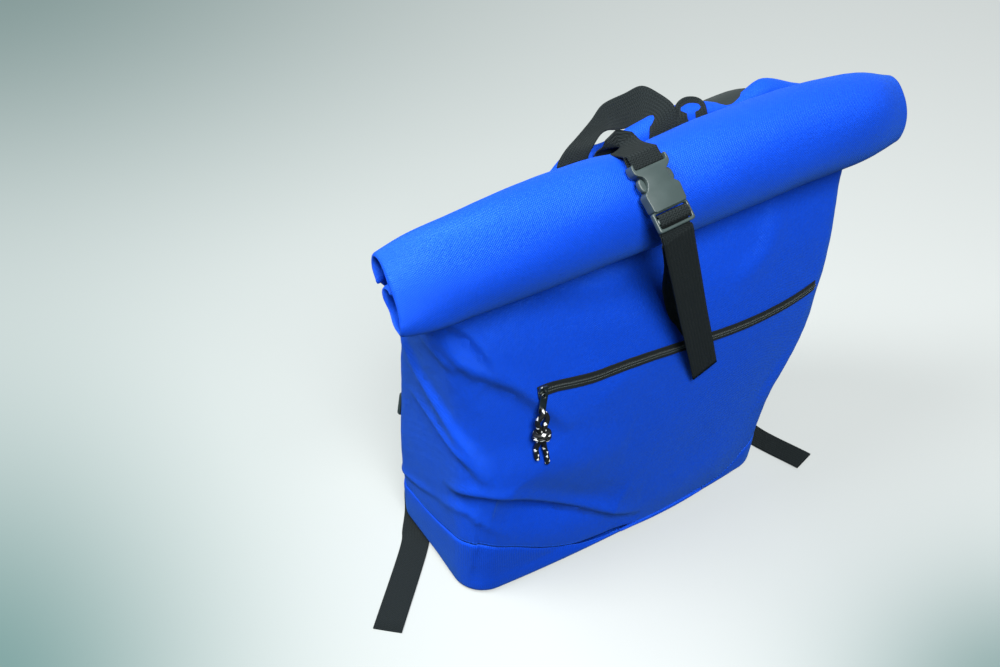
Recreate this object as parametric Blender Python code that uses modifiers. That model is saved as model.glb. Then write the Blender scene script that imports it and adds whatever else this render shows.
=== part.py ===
"""Rolltop backpack in woven cloth, standing on its base with the top rolled forward and buckled.

Metres, +Z up. The origin is the middle of the base on the ground, the front faces -Y.
"""

import math
from collections import namedtuple

import bmesh
import bpy
import numpy as np
from mathutils import Matrix, Vector
from mathutils.bvhtree import BVHTree

NAME = "rolltop_backpack"

# Body: a sewn tube, boxed at the base and flat at the top.
BASE_WIDTH = 0.310
BASE_DEPTH = 0.130
BASE_EDGE = 0.007
CORNER_LIFT = 0.0025
CORNER_X = -0.105
CORNER_Y = -0.005
CLOTH = 0.0010
LAYER_GAP = 0.0008
NIP_HEIGHT = 0.338
NIP_REACH = 0.053
SEAM_HEIGHT = 0.046
SEAM_GAP = 0.0003

# Roll: the flattened top turned forward and down, then back in.
ROLL_AXIS_HEIGHT = 0.3645
ROLL_AXIS_REACH = 0.084
ROLL_DEPTH = 0.062
ROLL_HEIGHT = 0.080
ROLL_END_TILT = math.radians(33)

# Clearances.
PIECE_GAP = 0.0004
DRAPE_GAP = 0.0008

# Webbing.
WEBBING = 0.025
WEBBING_THICK = 0.0014
ROOT_REACH = 0.0565
HANDLE_CENTRE = -0.0230
HANDLE_SPAN = 0.0775
HANDLE_BACK = 0.036
HANDLE_RISE = 0.0290
LOOP_WIDTH = 0.010
LOOP_CENTRE = 0.0445
LOOP_SPAN = 0.0130
LOOP_BACK = 0.0135
LOOP_RISE = 0.0095
LOOP_TIP = math.radians(43)

# Closing strap.
CLOSING_OFFSET = -0.032
ANCHOR_X = 0.029
ANCHOR_HEIGHT = 0.245
FREE_END_X = 0.0500
FREE_END_HEIGHT = 0.183

# Shoulder straps.
PAD_WIDTH = 0.050
PAD_THICK = 0.0070
STRAP_SPREAD = 0.082
STRAP_RISE_LEFT = -0.0110
STRAP_RISE_RIGHT = 0.0083
STRAP_ROOT_LEFT = 0.0065
STRAP_DROP = 0.260
STRAP_BACK = 0.083
SEWN_TAIL = 0.010
LOWER_ROOT_X = 0.127
LOWER_ROOT_HEIGHT = 0.030

# Zipper.
ZIP_HEIGHT = 0.2145
ZIP_DROP = 0.0135
ZIP_LEFT = -0.107
ZIP_RIGHT = 0.176
ZIP_STEP = 0.011
TAPE_WIDTH = 0.0030
TAPE_THICK = 0.0008
COIL_WIDTH = 0.0040
COIL_THICK = 0.0014
SLIDER_WIDTH = 0.0080
SLIDER_LENGTH = 0.0105
SLIDER_THICK = 0.0020
BAIL_WIRE = 0.0011
BAIL_LENGTH = 0.0052
BAIL_RISE = 0.0022
PULLER_WIDTH = 0.0066
PULLER_LENGTH = 0.0185
PULLER_THICK = 0.0010
PULLER_SWING = 0.0028
CORD = 0.0026
CORD_HOLE = 0.0036
CORD_RIM = 0.0014
CORD_STEP = 0.00195
KNOT_PITCH = 0.0030

# Buckle, and the ladder of bars that its plug and the strap adjusters share.
BUCKLE_WIDTH = 0.030
SOCKET_LENGTH = 0.035
SOCKET_THICK = 0.0084
SOCKET_WALL = 0.0016
BUCKLE_CENTRE = (-0.0344, -ROLL_AXIS_REACH - 0.0290, ROLL_AXIS_HEIGHT + 0.0335)
BUCKLE_LEAN = math.radians(46)
BUCKLE_SWING = math.radians(4)
LADDER_THICK = 0.0040
PLUG_BAR = 0.0026
TOP_BAR = 0.0026
SLOT = 0.0034
WIDE_SLOT = 0.0058
MID_BAR = 0.0050
RETURN_SLOT = 0.0046
LIP = 0.0036
LEAD = 0.0060

FLAT_HALF = (BASE_WIDTH + BASE_DEPTH) / 2
SHEET_HALF = CLOTH + LAYER_GAP / 2
STRAND = LADDER_THICK / 2 + WEBBING_THICK / 2 + 0.0005

# A row for each level of the body: height as a share of NIP_HEIGHT, spread of the left and the right side
# from the base's half width to FLAT_HALF, depth of BASE_DEPTH / 2, shift of NIP_REACH, corner of the depth
# and belly of BASE_DEPTH.
Level = namedtuple("Level", "height left right depth shift corner belly")
LEVELS = (
    Level(0.00, 0.07, 0.10, 1.00, 0.00, 0.36, 0.00),
    Level(0.10, 0.09, 0.12, 1.03, 0.03, 0.40, 0.03),
    Level(0.30, 0.10, 0.22, 1.06, 0.12, 0.40, 0.06),
    Level(0.50, 0.13, 0.56, 0.97, 0.28, 0.40, 0.08),
    Level(0.66, 0.22, 0.72, 0.80, 0.46, 0.42, 0.09),
    Level(0.80, 0.36, 0.76, 0.56, 0.68, 0.50, 0.08),
    Level(0.90, 0.50, 0.80, 0.30, 0.86, 0.70, 0.05),
    Level(0.97, 0.64, 0.85, 0.10, 0.97, 0.90, 0.01),
    Level(1.00, 0.72, 0.90, 0.02, 1.00, 1.00, 0.00),
)

# A row for each place along the roll, from its left end (-1) to its right end (1): half depth and half
# height as shares of the roll's, rise and reach of its axis as shares of ROLL_HEIGHT, tilt of
# ROLL_END_TILT, and swell, the share of the hump that the back's cloth makes behind the roll.
RollPlace = namedtuple("RollPlace", "along depth height rise reach tilt swell")
ROLL_PLACES = (
    RollPlace(-1.00, 0.44, 0.70, -0.05, -0.04, 1.0, 0.00),
    RollPlace(-0.92, 0.60, 0.82, -0.03, -0.02, 0.7, 0.00),
    RollPlace(-0.75, 0.80, 0.92, 0.01, 0.00, 0.3, 0.05),
    RollPlace(-0.40, 0.95, 0.98, 0.04, 0.00, 0.1, 0.15),
    RollPlace(-0.15, 1.00, 1.00, 0.05, 0.00, 0.0, 0.50),
    RollPlace(0.12, 1.00, 1.00, 0.08, 0.00, 0.0, 0.50),
    RollPlace(0.30, 1.00, 1.00, 0.09, 0.00, 0.0, 0.10),
    RollPlace(0.43, 0.99, 0.99, 0.09, 0.00, 0.0, 0.06),
    RollPlace(0.54, 0.97, 0.98, 0.09, 0.00, 0.0, 0.92),
    RollPlace(0.66, 0.94, 0.96, 0.08, 0.00, 0.0, 0.55),
    RollPlace(0.84, 0.86, 0.89, 0.05, -0.01, 0.1, 0.15),
    RollPlace(1.00, 0.58, 0.68, -0.01, -0.03, 0.4, 0.00),
)

# The sheet's way round the roll, in shares of its half depth and half height from the axis: across is
# towards the back, the swell columns are what the hump behind the roll adds, and ease is how far the
# sheet's ends have come out from their place at the nip to FLAT_HALF. The last rows are the mouth, tucked
# across the hollow.
Turn = namedtuple("Turn", "across up swell_across swell_up ease")
BACK_TURNS = (
    Turn(1.00, -0.20, 0.12, 0.00, 0.4),
    Turn(1.05, 0.12, 0.36, 0.10, 0.7),
    Turn(1.00, 0.36, 0.42, 0.40, 0.9),
    Turn(0.86, 0.38, 0.26, 0.34, 1.0),
    Turn(0.76, 0.36, 0.10, -0.04, 1.0),
)
ARC_DEGREES = (48, 74, 100, 126, 153, 180, 207, 236)
INNER_TURNS = (
    Turn(-0.10, -0.98, 0.0, 0.0, 1.0),
    Turn(0.34, -0.80, 0.0, 0.0, 1.0),
    Turn(0.56, -0.44, 0.0, 0.0, 1.0),
    Turn(0.54, -0.04, 0.0, 0.0, 1.0),
    Turn(0.26, 0.16, 0.0, 0.0, 1.0),
    Turn(-0.10, 0.14, 0.0, 0.0, 1.0),
    Turn(-0.42, 0.02, 0.0, 0.0, 1.0),
)

# The tray's seam round the bag: place as a share of the half girth from the front's middle, right
# positive, and height as a share of SEAM_HEIGHT.
SeamPoint = namedtuple("SeamPoint", "place height")
SEAM = (
    SeamPoint(-1.00, 1.00),
    SeamPoint(-0.60, 1.00),
    SeamPoint(-0.42, 1.12),
    SeamPoint(-0.34, 1.22),
    SeamPoint(-0.28, 0.95),
    SeamPoint(-0.20, 0.50),
    SeamPoint(-0.12, 0.27),
    SeamPoint(0.00, 0.20),
    SeamPoint(0.18, 0.21),
    SeamPoint(0.26, 0.34),
    SeamPoint(0.33, 0.72),
    SeamPoint(0.42, 0.95),
    SeamPoint(0.60, 1.00),
    SeamPoint(1.00, 1.00),
)

# Dents (negative rise) and ridges of the cloth: both ends' places as shares of the half girth and heights
# as shares of NIP_HEIGHT, width as a share of BASE_DEPTH, rise as a share of BASE_EDGE.
Fold = namedtuple("Fold", "place0 height0 place1 height1 width rise")
FOLDS = (
    Fold(-0.31, 0.32, -0.04, 0.17, 0.17, -1.1),
    Fold(-0.36, 0.46, -0.04, 0.38, 0.17, 0.6),
    Fold(-0.48, 0.92, -0.28, 0.40, 0.20, -0.8),
    Fold(-0.24, 0.90, -0.08, 0.60, 0.20, -0.6),
)

FRONT_COLUMNS = 10
BACK_COLUMNS = 8
CORNER_COLUMNS = 3
SIDE_COLUMNS = 6
BODY_RINGS = 12
TRAY_RINGS = 3

# The haul handle's inner and outer edge from the left foot to the right: place as a share of the span from
# its centre, back and rise of the named back and rise.
HandlePoint = namedtuple("HandlePoint", "in_along in_back in_rise out_along out_back out_rise")
HANDLE = (
    HandlePoint(-0.34, 0.00, 0.00, -0.66, 0.00, 0.00),
    HandlePoint(-0.33, 0.01, 0.14, -0.65, 0.06, 0.14),
    HandlePoint(-0.25, 0.10, 0.29, -0.54, 0.18, 0.32),
    HandlePoint(-0.10, 0.26, 0.36, -0.33, 0.45, 0.34),
    HandlePoint(0.01, 0.37, 0.32, -0.08, 0.73, 0.46),
    HandlePoint(0.11, 0.43, 0.29, 0.12, 0.94, 0.64),
    HandlePoint(0.27, 0.48, 0.27, 0.36, 0.98, 0.70),
    HandlePoint(0.40, 0.48, 0.28, 0.52, 0.75, 0.86),
    HandlePoint(0.46, 0.43, 0.34, 0.67, 0.58, 0.68),
    HandlePoint(0.44, 0.30, 0.36, 0.75, 0.34, 0.57),
    HandlePoint(0.35, 0.08, 0.20, 0.67, 0.16, 0.22),
    HandlePoint(0.34, 0.00, 0.00, 0.66, 0.00, 0.00),
)

# The hang loop's middle from the left foot to the right, in the same shares of its own sizes, and the turn
# of its width from +X over the front, in degrees.
LoopPoint = namedtuple("LoopPoint", "along back rise turn")
LOOP = (
    LoopPoint(-0.50, 0.00, 0.00, 0),
    LoopPoint(-0.48, 0.30, 0.55, 5),
    LoopPoint(-0.20, 0.78, 0.92, 40),
    LoopPoint(0.26, 1.00, 1.00, 90),
    LoopPoint(0.66, 0.80, 0.84, 140),
    LoopPoint(0.58, 0.30, 0.45, 172),
    LoopPoint(0.50, 0.00, 0.00, 180),
)

# The closing strap from its root over the crest to the buckle: across from CLOSING_OFFSET towards the
# buckle's middle, reach from ROOT_REACH towards the front and rise from the root, as shares of the way
# to the buckle's top bar.
ClosingPoint = namedtuple("ClosingPoint", "across reach rise")
CLOSING = (
    ClosingPoint(0.00, 0.00, 0.00),
    ClosingPoint(0.00, -0.04, 0.40),
    ClosingPoint(0.04, 0.02, 0.76),
    ClosingPoint(0.18, 0.22, 1.00),
    ClosingPoint(0.46, 0.52, 1.12),
    ClosingPoint(0.76, 0.77, 1.12),
)

# A shoulder strap from its root to its lower end: spread as a share of STRAP_SPREAD, drop from its top as
# a share of STRAP_DROP, back from its root to STRAP_BACK, width of PAD_WIDTH and thickness of PAD_THICK.
StrapPoint = namedtuple("StrapPoint", "spread drop back width thick")
STRAP = (
    StrapPoint(1.00, 0.010, 0.025, 0.90, 0.7),
    StrapPoint(1.00, 0.000, 0.068, 0.95, 0.9),
    StrapPoint(1.00, 0.022, 0.150, 1.00, 1.0),
    StrapPoint(1.00, 0.095, 0.285, 1.00, 1.0),
    StrapPoint(1.04, 0.260, 0.500, 1.00, 1.0),
    StrapPoint(1.10, 0.460, 0.740, 1.00, 1.0),
    StrapPoint(1.19, 0.660, 0.910, 1.00, 1.0),
    StrapPoint(1.36, 0.850, 0.990, 0.82, 1.0),
    StrapPoint(1.48, 0.940, 0.990, 0.56, 0.7),
    StrapPoint(1.51, 0.975, 0.980, 0.50, 0.2),
)

# The free webbing from an adjuster to its end on the ground: outwards and forwards from the adjuster and
# height, as shares of WEBBING, and the turn of its width from +X, in degrees. The left one is caught under
# the base's lifted corner.
FreePoint = namedtuple("FreePoint", "out forward height turn")
FREE_LEFT = (
    FreePoint(-0.22, -0.06, 2.00, 0),
    FreePoint(-0.34, -0.20, 1.00, -6),
    FreePoint(-0.18, -0.26, 0.30, -22),
    FreePoint(0.12, 0.10, 0.048, -36),
    FreePoint(0.58, 0.98, 0.044, -38),
    FreePoint(1.10, 1.76, 0.044, -38),
    FreePoint(1.68, 2.60, 0.044, -41),
    FreePoint(4.04, 5.15, 0.044, -42),
)
FREE_RIGHT = (
    FreePoint(0.10, -0.14, 2.30, 0),
    FreePoint(0.74, -0.18, 1.20, 0),
    FreePoint(1.60, 0.28, 0.50, 10),
    FreePoint(1.86, 1.36, 0.14, 8),
    FreePoint(1.86, 2.56, 0.045, 0),
    FreePoint(1.80, 4.38, 0.045, 4),
    FreePoint(2.46, 6.66, 0.10, 16),
)

# The zip cord's two strands, each from the end of its tail up through the knot to the puller's rim: across
# in cord diameters, drop below the rim in steps of CORD_STEP, and stand off the cloth in cord diameters.
CordPoint = namedtuple("CordPoint", "across drop stand")
FRONT_STRAND = (
    CordPoint(-0.80, 26.0, 1.00),
    CordPoint(-1.10, 23.0, 1.00),
    CordPoint(-1.20, 20.0, 1.00),
    CordPoint(-0.95, 17.4, 1.35),
    CordPoint(-0.64, 15.2, 1.85),
    CordPoint(-0.62, 13.4, 2.05),
    CordPoint(-0.62, 11.6, 2.05),
    CordPoint(-0.62, 9.60, 2.05),
    CordPoint(-0.95, 7.20, 2.05),
    CordPoint(-1.30, 4.80, 2.20),
    CordPoint(-0.90, 2.40, 2.75),
)
BACK_STRAND = (
    CordPoint(2.20, 29.5, 1.00),
    CordPoint(2.20, 26.5, 1.00),
    CordPoint(1.90, 23.5, 1.00),
    CordPoint(1.50, 20.6, 1.05),
    CordPoint(1.00, 17.6, 1.40),
    CordPoint(0.66, 15.2, 1.85),
    CordPoint(0.62, 13.4, 2.05),
    CordPoint(0.62, 11.6, 2.05),
    CordPoint(0.62, 9.60, 2.05),
    CordPoint(0.95, 7.20, 1.90),
    CordPoint(1.30, 4.80, 1.70),
    CordPoint(0.90, 2.40, 1.55),
)


def smooth_table(rows, column, at):
    """Values of one column of a table at the places, through a smooth curve over its first column."""
    keys = np.array([row[0] for row in rows])
    values = np.array([getattr(row, column) for row in rows])
    slopes = np.gradient(values, keys)
    at = np.clip(at, keys[0], keys[-1])
    low = np.clip(np.searchsorted(keys, at, side="right") - 1, 0, len(keys) - 2)
    step = keys[low + 1] - keys[low]
    t = (at - keys[low]) / step
    ease = t * t * (3 - 2 * t)
    bend = t * (1 - t) * ((1 - t) * slopes[low] - t * slopes[low + 1])
    return values[low] * (1 - ease) + values[low + 1] * ease + bend * step


def smooth_path(points, parts):
    """The points joined by a smooth curve, with this many parts between neighbours."""
    points = np.array(points, float)
    ends = np.vstack([2 * points[0] - points[1], points, 2 * points[-1] - points[-2]])
    t = np.arange(parts)[:, None] / parts
    runs = []
    for a, b, c, d in zip(ends, ends[1:], ends[2:], ends[3:]):
        bend = (2 * a - 5 * b + 4 * c - d) * t**2 + (3 * b - a - 3 * c + d) * t**3
        runs.append(b + ((c - a) * t + bend) / 2)
    return np.vstack([*runs, points[-1:]])


def rounded_section(half_width, half_depth, corner, place):
    """Points and outward normals of a rounded rectangle at signed shares of its half girth."""
    radius = corner * half_depth
    flat = half_width - radius
    arc = math.pi * radius / 2
    side = 2 * (half_depth - radius)
    way = np.abs(place) * (2 * flat + 2 * arc + side)
    front = np.clip(way, 0, flat)
    turn1 = np.clip(way - flat, 0, arc) / radius
    up = np.clip(way - flat - arc, 0, side)
    turn2 = np.clip(way - flat - arc - side, 0, arc) / radius
    back = np.clip(way - flat - 2 * arc - side, 0, flat)
    hand = np.sign(place)
    x = hand * (front + radius * np.sin(turn1) - radius * (1 - np.cos(turn2)) - back)
    y = -half_depth + radius * (1 - np.cos(turn1)) + up + radius * np.sin(turn2)
    turn = turn1 + turn2
    return x, y, hand * np.sin(turn), -np.cos(turn)


def fold_rise(place, height):
    """How far the cloth stands out of its plain surface at places round the girth and heights."""
    half_girth = FLAT_HALF * 2
    across = place * half_girth
    total = np.zeros(np.broadcast(place, height).shape)
    for fold in FOLDS:
        start = np.array([fold.place0 * half_girth, fold.height0 * NIP_HEIGHT])
        run = np.array([fold.place1 * half_girth, fold.height1 * NIP_HEIGHT]) - start
        share = ((across - start[0]) * run[0] + (height - start[1]) * run[1]) / (run @ run)
        off = ((height - start[1]) * run[0] - (across - start[0]) * run[1]) / math.hypot(*run)
        along = np.sin(math.pi * np.clip(share, 0, 1)) ** 0.7
        total = total + fold.rise * BASE_EDGE * along * np.exp(-((off / (fold.width * BASE_DEPTH)) ** 2))
    return total


def body_surface(place, height, inset=0.0):
    """The unrolled body at places round the girth and heights, moved inwards by the inset."""
    share = height / NIP_HEIGHT
    spread = np.where(place < 0, smooth_table(LEVELS, "left", share), smooth_table(LEVELS, "right", share))
    half_width = BASE_WIDTH / 2 + spread * (FLAT_HALF - BASE_WIDTH / 2)
    half_depth = np.maximum(smooth_table(LEVELS, "depth", share) * BASE_DEPTH / 2, SHEET_HALF)
    corner = np.clip(smooth_table(LEVELS, "corner", share), 0.3, 1)
    x, y, out_x, out_y = rounded_section(half_width - inset, half_depth - inset, corner, place)
    belly = smooth_table(LEVELS, "belly", share) * BASE_DEPTH
    front = np.clip((half_depth - inset - y) / (2 * (half_depth - inset)), 0, 1)
    y = y - belly * front * (1 - (x / half_width) ** 2)
    rise = fold_rise(place, height)
    x = x + out_x * rise
    y = y + out_y * rise - smooth_table(LEVELS, "shift", share) * NIP_REACH
    return np.stack(np.broadcast_arrays(x, y, height), axis=-1)


def nip_width(place):
    """The half width of the tube at the nip, on the side of each place."""
    spread = np.where(place < 0, LEVELS[-1].left, LEVELS[-1].right)
    return BASE_WIDTH / 2 + spread * (FLAT_HALF - BASE_WIDTH / 2)


def roll_wrap(x, across, up, swell=(0.0, 0.0), offset=(0.0, 0.0)):
    """Points of the sheet carried to the roll: across and up are shares of its half depth and height at
    that place, swell is the hump's share of the same, and offset is a plain way out in metres."""
    along = x / FLAT_HALF
    depth = smooth_table(ROLL_PLACES, "depth", along) * ROLL_DEPTH / 2 - SHEET_HALF
    height = smooth_table(ROLL_PLACES, "height", along) * ROLL_HEIGHT / 2 - SHEET_HALF
    hump = smooth_table(ROLL_PLACES, "swell", along)
    tilt = smooth_table(ROLL_PLACES, "tilt", along) * ROLL_END_TILT
    y = (across + hump * swell[0]) * depth + offset[0]
    z = (up + hump * swell[1]) * height + offset[1]
    centre_y = -ROLL_AXIS_REACH - smooth_table(ROLL_PLACES, "reach", along) * ROLL_HEIGHT
    centre_z = ROLL_AXIS_HEIGHT + smooth_table(ROLL_PLACES, "rise", along) * ROLL_HEIGHT
    turned_y = centre_y + y * np.cos(tilt) + z * np.sin(tilt)
    turned_z = centre_z - y * np.sin(tilt) + z * np.cos(tilt)
    return np.stack(np.broadcast_arrays(x, turned_y, turned_z), axis=-1)


def girth_places():
    """Signed shares of the half girth, from the back's middle round the left, the front and the right."""
    half_girth = BASE_WIDTH + BASE_DEPTH
    corner = BASE_DEPTH * 0.16
    bend = 2 * corner
    front = BASE_WIDTH / 2 - corner
    side = BASE_DEPTH - 2 * corner
    half = np.concatenate(
        [
            np.linspace(0, front, FRONT_COLUMNS // 2, endpoint=False),
            np.linspace(front, front + bend, CORNER_COLUMNS, endpoint=False),
            np.linspace(front + bend, front + bend + side, SIDE_COLUMNS, endpoint=False),
            np.linspace(front + bend + side, front + 2 * bend + side, CORNER_COLUMNS, endpoint=False),
            np.linspace(front + 2 * bend + side, half_girth, BACK_COLUMNS // 2 + 1),
        ]
    )
    half = half / half_girth
    return np.concatenate([-half[1:][::-1], half[:-1]])


def seam_height(place):
    """Height of the tray's seam round the girth."""
    return smooth_table(SEAM, "height", place) * SEAM_HEIGHT


def roll_stations():
    """Each station of the sheet round the roll, and the direction out of it, across and up."""
    arc = [Turn(math.cos(angle), math.sin(angle), 0.0, 0.0, 1.0) for angle in np.radians(ARC_DEGREES)]
    turns = np.array([*BACK_TURNS, *arc, *INNER_TURNS])
    run = np.gradient((turns[:, :2] + turns[:, 2:4]) * (ROLL_DEPTH, ROLL_HEIGHT), axis=0)
    run /= np.linalg.norm(run, axis=1)[:, None]
    return turns, np.stack([run[:, 1], -run[:, 0]], axis=-1)


def body_rings(inset):
    """Every ring of the body's wall from the seam to the mouth, at this inset from the outside."""
    place = girth_places()
    seam = seam_height(place) + SEAM_GAP
    rings = []
    for share in np.linspace(0, 1, BODY_RINGS):
        height = seam + (NIP_HEIGHT - seam) * share
        flat = body_surface(place, height, inset)
        # Near the nip the sheet starts to follow the roll's shape along its axis.
        blend = np.clip((height / NIP_HEIGHT - 0.80) / 0.20, 0, 1) ** 2 / 2
        rest_y = (flat[:, 1] + ROLL_AXIS_REACH) / (ROLL_DEPTH / 2 - SHEET_HALF)
        rest_z = (flat[:, 2] - ROLL_AXIS_HEIGHT) / (ROLL_HEIGHT / 2 - SHEET_HALF)
        rolled = roll_wrap(flat[:, 0], rest_y, rest_z)
        rings.append(flat + (rolled - flat) * blend[:, None])
    x, offset, _, _ = rounded_section(FLAT_HALF - 3 * inset, SHEET_HALF - inset, 1.0, place)
    full = nip_width(place) / FLAT_HALF
    for (across, up, swell_across, swell_up, ease), (out_y, out_z) in zip(*roll_stations()):
        eased = x * (full + (1 - full) * ease)
        rings.append(roll_wrap(eased, across, up, (swell_across, swell_up), (out_y * offset, out_z * offset)))
    return rings


def add_object(name, mesh, material):
    """An object of this mesh in the bag's collection."""
    mesh.materials.clear()
    mesh.materials.append(material)
    obj = bpy.data.objects.new(name, mesh)
    bpy.data.collections[NAME].objects.link(obj)
    return obj


def loft_faces(count, rings, first=0, cyclic=False):
    """Quads through rings of this many points, from the point with this number on."""
    near = np.arange(count)
    far = (near + 1) % count
    low = first + np.arange(rings if cyclic else rings - 1)[:, None] * count
    high = low + count
    if cyclic:
        high[-1] = first
    return np.stack([low + near, low + far, high + far, high + near], axis=-1).reshape(-1, 4).tolist()


def closed_mesh(name, points, faces, sharp=50):
    """A smooth-shaded mesh with its faces turned outwards."""
    mesh = bpy.data.meshes.new(name)
    mesh.from_pydata(np.asarray(points).tolist(), [], faces)
    work = bmesh.new()
    work.from_mesh(mesh)
    bmesh.ops.triangulate(work, faces=work.faces)
    bmesh.ops.recalc_face_normals(work, faces=work.faces)
    work.to_mesh(mesh)
    work.free()
    mesh.shade_smooth()
    mesh.set_sharp_from_angle(angle=math.radians(sharp))
    return mesh


def make_material(name, colour, roughness, metallic=0.0):
    """A plain finish."""
    material = bpy.data.materials.new(name)
    material.use_nodes = True
    shader = material.node_tree.nodes["Principled BSDF"]
    shader.inputs["Base Color"].default_value = (*colour, 1.0)
    shader.inputs["Roughness"].default_value = roughness
    shader.inputs["Metallic"].default_value = metallic
    return material


def make_body(cloth):
    """The hollow sewn tube, open at the seam and at the mouth inside the roll."""
    rings = [*body_rings(0.0), *body_rings(CLOTH)[::-1]]
    faces = loft_faces(len(rings[0]), len(rings), cyclic=True)
    return add_object("body_shell", closed_mesh("body_shell", np.concatenate(rings), faces), cloth)


def corner_lift(points):
    """How far the base's left back corner is held off the ground by the webbing caught under it."""
    out = np.clip((CORNER_X - points[:, 0]) / (2 * BASE_EDGE), 0, 1)
    back = np.clip((points[:, 1] - CORNER_Y) / (5 * BASE_EDGE) + 1, 0, 1)
    return CORNER_LIFT * (3 * out**2 - 2 * out**3) * (3 * back**2 - 2 * back**3)


def tray_rings(inset):
    """Rings of the tray's wall from its bottom's middle out and up to the seam, at this inset."""
    place = girth_places()
    edge = body_surface(place, np.full_like(place, BASE_EDGE), inset)
    size = np.linalg.norm(edge[:, :2], axis=1)[:, None]
    rings = []
    for share in (0.45, 0.78):
        rings.append(np.column_stack([edge[:, :2] * share, np.full(len(place), inset)]))
    for angle in np.radians((0, 45, 90)):
        inward = (BASE_EDGE - inset) * (1 - math.sin(angle))
        height = BASE_EDGE - (BASE_EDGE - inset) * math.cos(angle)
        rings.append(np.column_stack([edge[:, :2] * (1 - inward / size), np.full(len(place), height)]))
    for ring in rings:
        ring[:, 2] += corner_lift(ring)
    seam = seam_height(place)
    start = BASE_EDGE + corner_lift(edge)
    for share in np.linspace(0, 1, TRAY_RINGS)[1:]:
        rings.append(body_surface(place, start + (seam - start) * share, inset))
    return rings


def make_tray(cloth):
    """The base tray: a flat bottom with turned-up walls that end at the seam."""
    outside = tray_rings(0.0)
    inside = tray_rings(CLOTH)
    rings = [*outside, *inside[::-1]]
    count = len(rings[0])
    points = np.vstack([*rings, [(0.0, 0.0, 0.0)], [(0.0, 0.0, CLOTH)]])
    faces = loft_faces(count, len(rings))
    bottom = len(points) - 2
    last = (len(rings) - 1) * count
    for index in range(count):
        after = (index + 1) % count
        faces.append([bottom, after, index])
        faces.append([bottom + 1, last + index, last + after])
    return add_object("base_panel", closed_mesh("base_panel", points, faces), cloth)


def unit(vectors):
    """The vectors at length one."""
    return vectors / np.linalg.norm(vectors, axis=-1, keepdims=True)


def resampled(path, step):
    """The path with its points about this far apart, both ends kept."""
    way = np.concatenate([[0.0], np.cumsum(np.linalg.norm(np.diff(path, axis=0), axis=1))])
    at = np.linspace(0, way[-1], max(2, round(way[-1] / step) + 1))
    return np.stack([np.interp(at, way, path[:, axis]) for axis in range(3)], axis=-1)


def edges_of(centres, sides, width):
    """A band's two edge lines, its width square to its run."""
    run = unit(np.gradient(centres, axis=0))
    sides = np.broadcast_to(np.array(sides, float), centres.shape)
    sides = unit(sides - run * np.sum(sides * run, axis=1)[:, None])
    half = sides * np.reshape(width, (-1, 1)) / 2
    return centres - half, centres + half


def strip(name, edges, thick, material):
    """A band of webbing between two edge lines, thickened with a Solidify modifier."""
    count = len(edges[0])
    near = np.arange(count - 1)
    faces = np.stack([near, near + count, near + count + 1, near + 1], axis=-1).tolist()
    mesh = bpy.data.meshes.new(name)
    mesh.from_pydata(np.vstack(edges).tolist(), [], faces)
    mesh.shade_smooth()
    mesh.set_sharp_from_angle(angle=math.radians(50))
    band = add_object(name, mesh, material)
    wall = band.modifiers.new("thickness", "SOLIDIFY")
    wall.thickness = thick
    wall.offset = 0.0
    wall.use_even_offset = True
    return band


def skin_of(*objects):
    """The outside of plain meshes, for laying other pieces on it."""
    points = []
    faces = []
    for obj in objects:
        faces += [[len(points) + index for index in face.vertices] for face in obj.data.polygons]
        points += [vertex.co for vertex in obj.data.vertices]
    return BVHTree.FromPolygons(points, faces)


def cast(skin, start, way):
    """The first point of the skin from the start along the way."""
    return np.array(skin.ray_cast(Vector(start), Vector(way))[0])


def on_front(skin, x, z):
    """The skin's foremost point at this place and height."""
    return cast(skin, (x, -1.0, z), (0.0, 1.0, 0.0))


def valley(skin, x, width):
    """The highest point of the valley behind the roll under a band of this width."""
    points = []
    for across in (-width / 2, 0.0, width / 2):
        for back in (-WEBBING_THICK, 0.0, WEBBING_THICK):
            points.append(cast(skin, (x + across, back - ROOT_REACH, 1.0), (0.0, 0.0, -1.0)))
    return max(point[2] for point in points) + PIECE_GAP


def plate(name, outline, holes, thick, place, material, edge):
    """A flat piece of this outline and holes, in the frame of the place, with eased edges."""
    curve = bpy.data.curves.new(name, "CURVE")
    curve.dimensions = "2D"
    curve.fill_mode = "BOTH"
    curve.extrude = thick / 2
    for ring in (outline, *holes):
        spline = curve.splines.new("POLY")
        spline.points.add(len(ring) - 1)
        spline.points.foreach_set("co", [value for x, y in ring for value in (x, y, 0.0, 1.0)])
        spline.use_cyclic_u = True
    guide = bpy.data.objects.new(name + "_outline", curve)
    bpy.context.scene.collection.objects.link(guide)
    mesh = bpy.data.meshes.new_from_object(guide.evaluated_get(bpy.context.evaluated_depsgraph_get()))
    bpy.data.objects.remove(guide)
    work = bmesh.new()
    work.from_mesh(mesh)
    bmesh.ops.remove_doubles(work, verts=work.verts, dist=1e-6)
    bmesh.ops.dissolve_limit(work, angle_limit=math.radians(1), verts=work.verts, edges=work.edges)
    bmesh.ops.recalc_face_normals(work, faces=work.faces)
    work.to_mesh(mesh)
    work.free()
    mesh.transform(place)
    piece = add_object(name, mesh, material)
    if not edge:
        return piece
    eased = piece.modifiers.new("edges", "BEVEL")
    eased.width = edge
    eased.segments = 1
    eased.limit_method = "ANGLE"
    return piece


def ring_of(width, height, centre_y, radius, steps=3):
    """A rounded rectangle's points, anticlockwise, for an outline or a hole."""
    points = []
    for quarter, (hand_x, hand_y) in enumerate(((1, 1), (-1, 1), (-1, -1), (1, -1))):
        for turn in np.linspace(0, math.pi / 2, steps):
            angle = turn + quarter * math.pi / 2
            x = hand_x * (width / 2 - radius) + radius * math.cos(angle)
            y = centre_y + hand_y * (height / 2 - radius) + radius * math.sin(angle)
            points.append((x, y))
    return points


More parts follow.
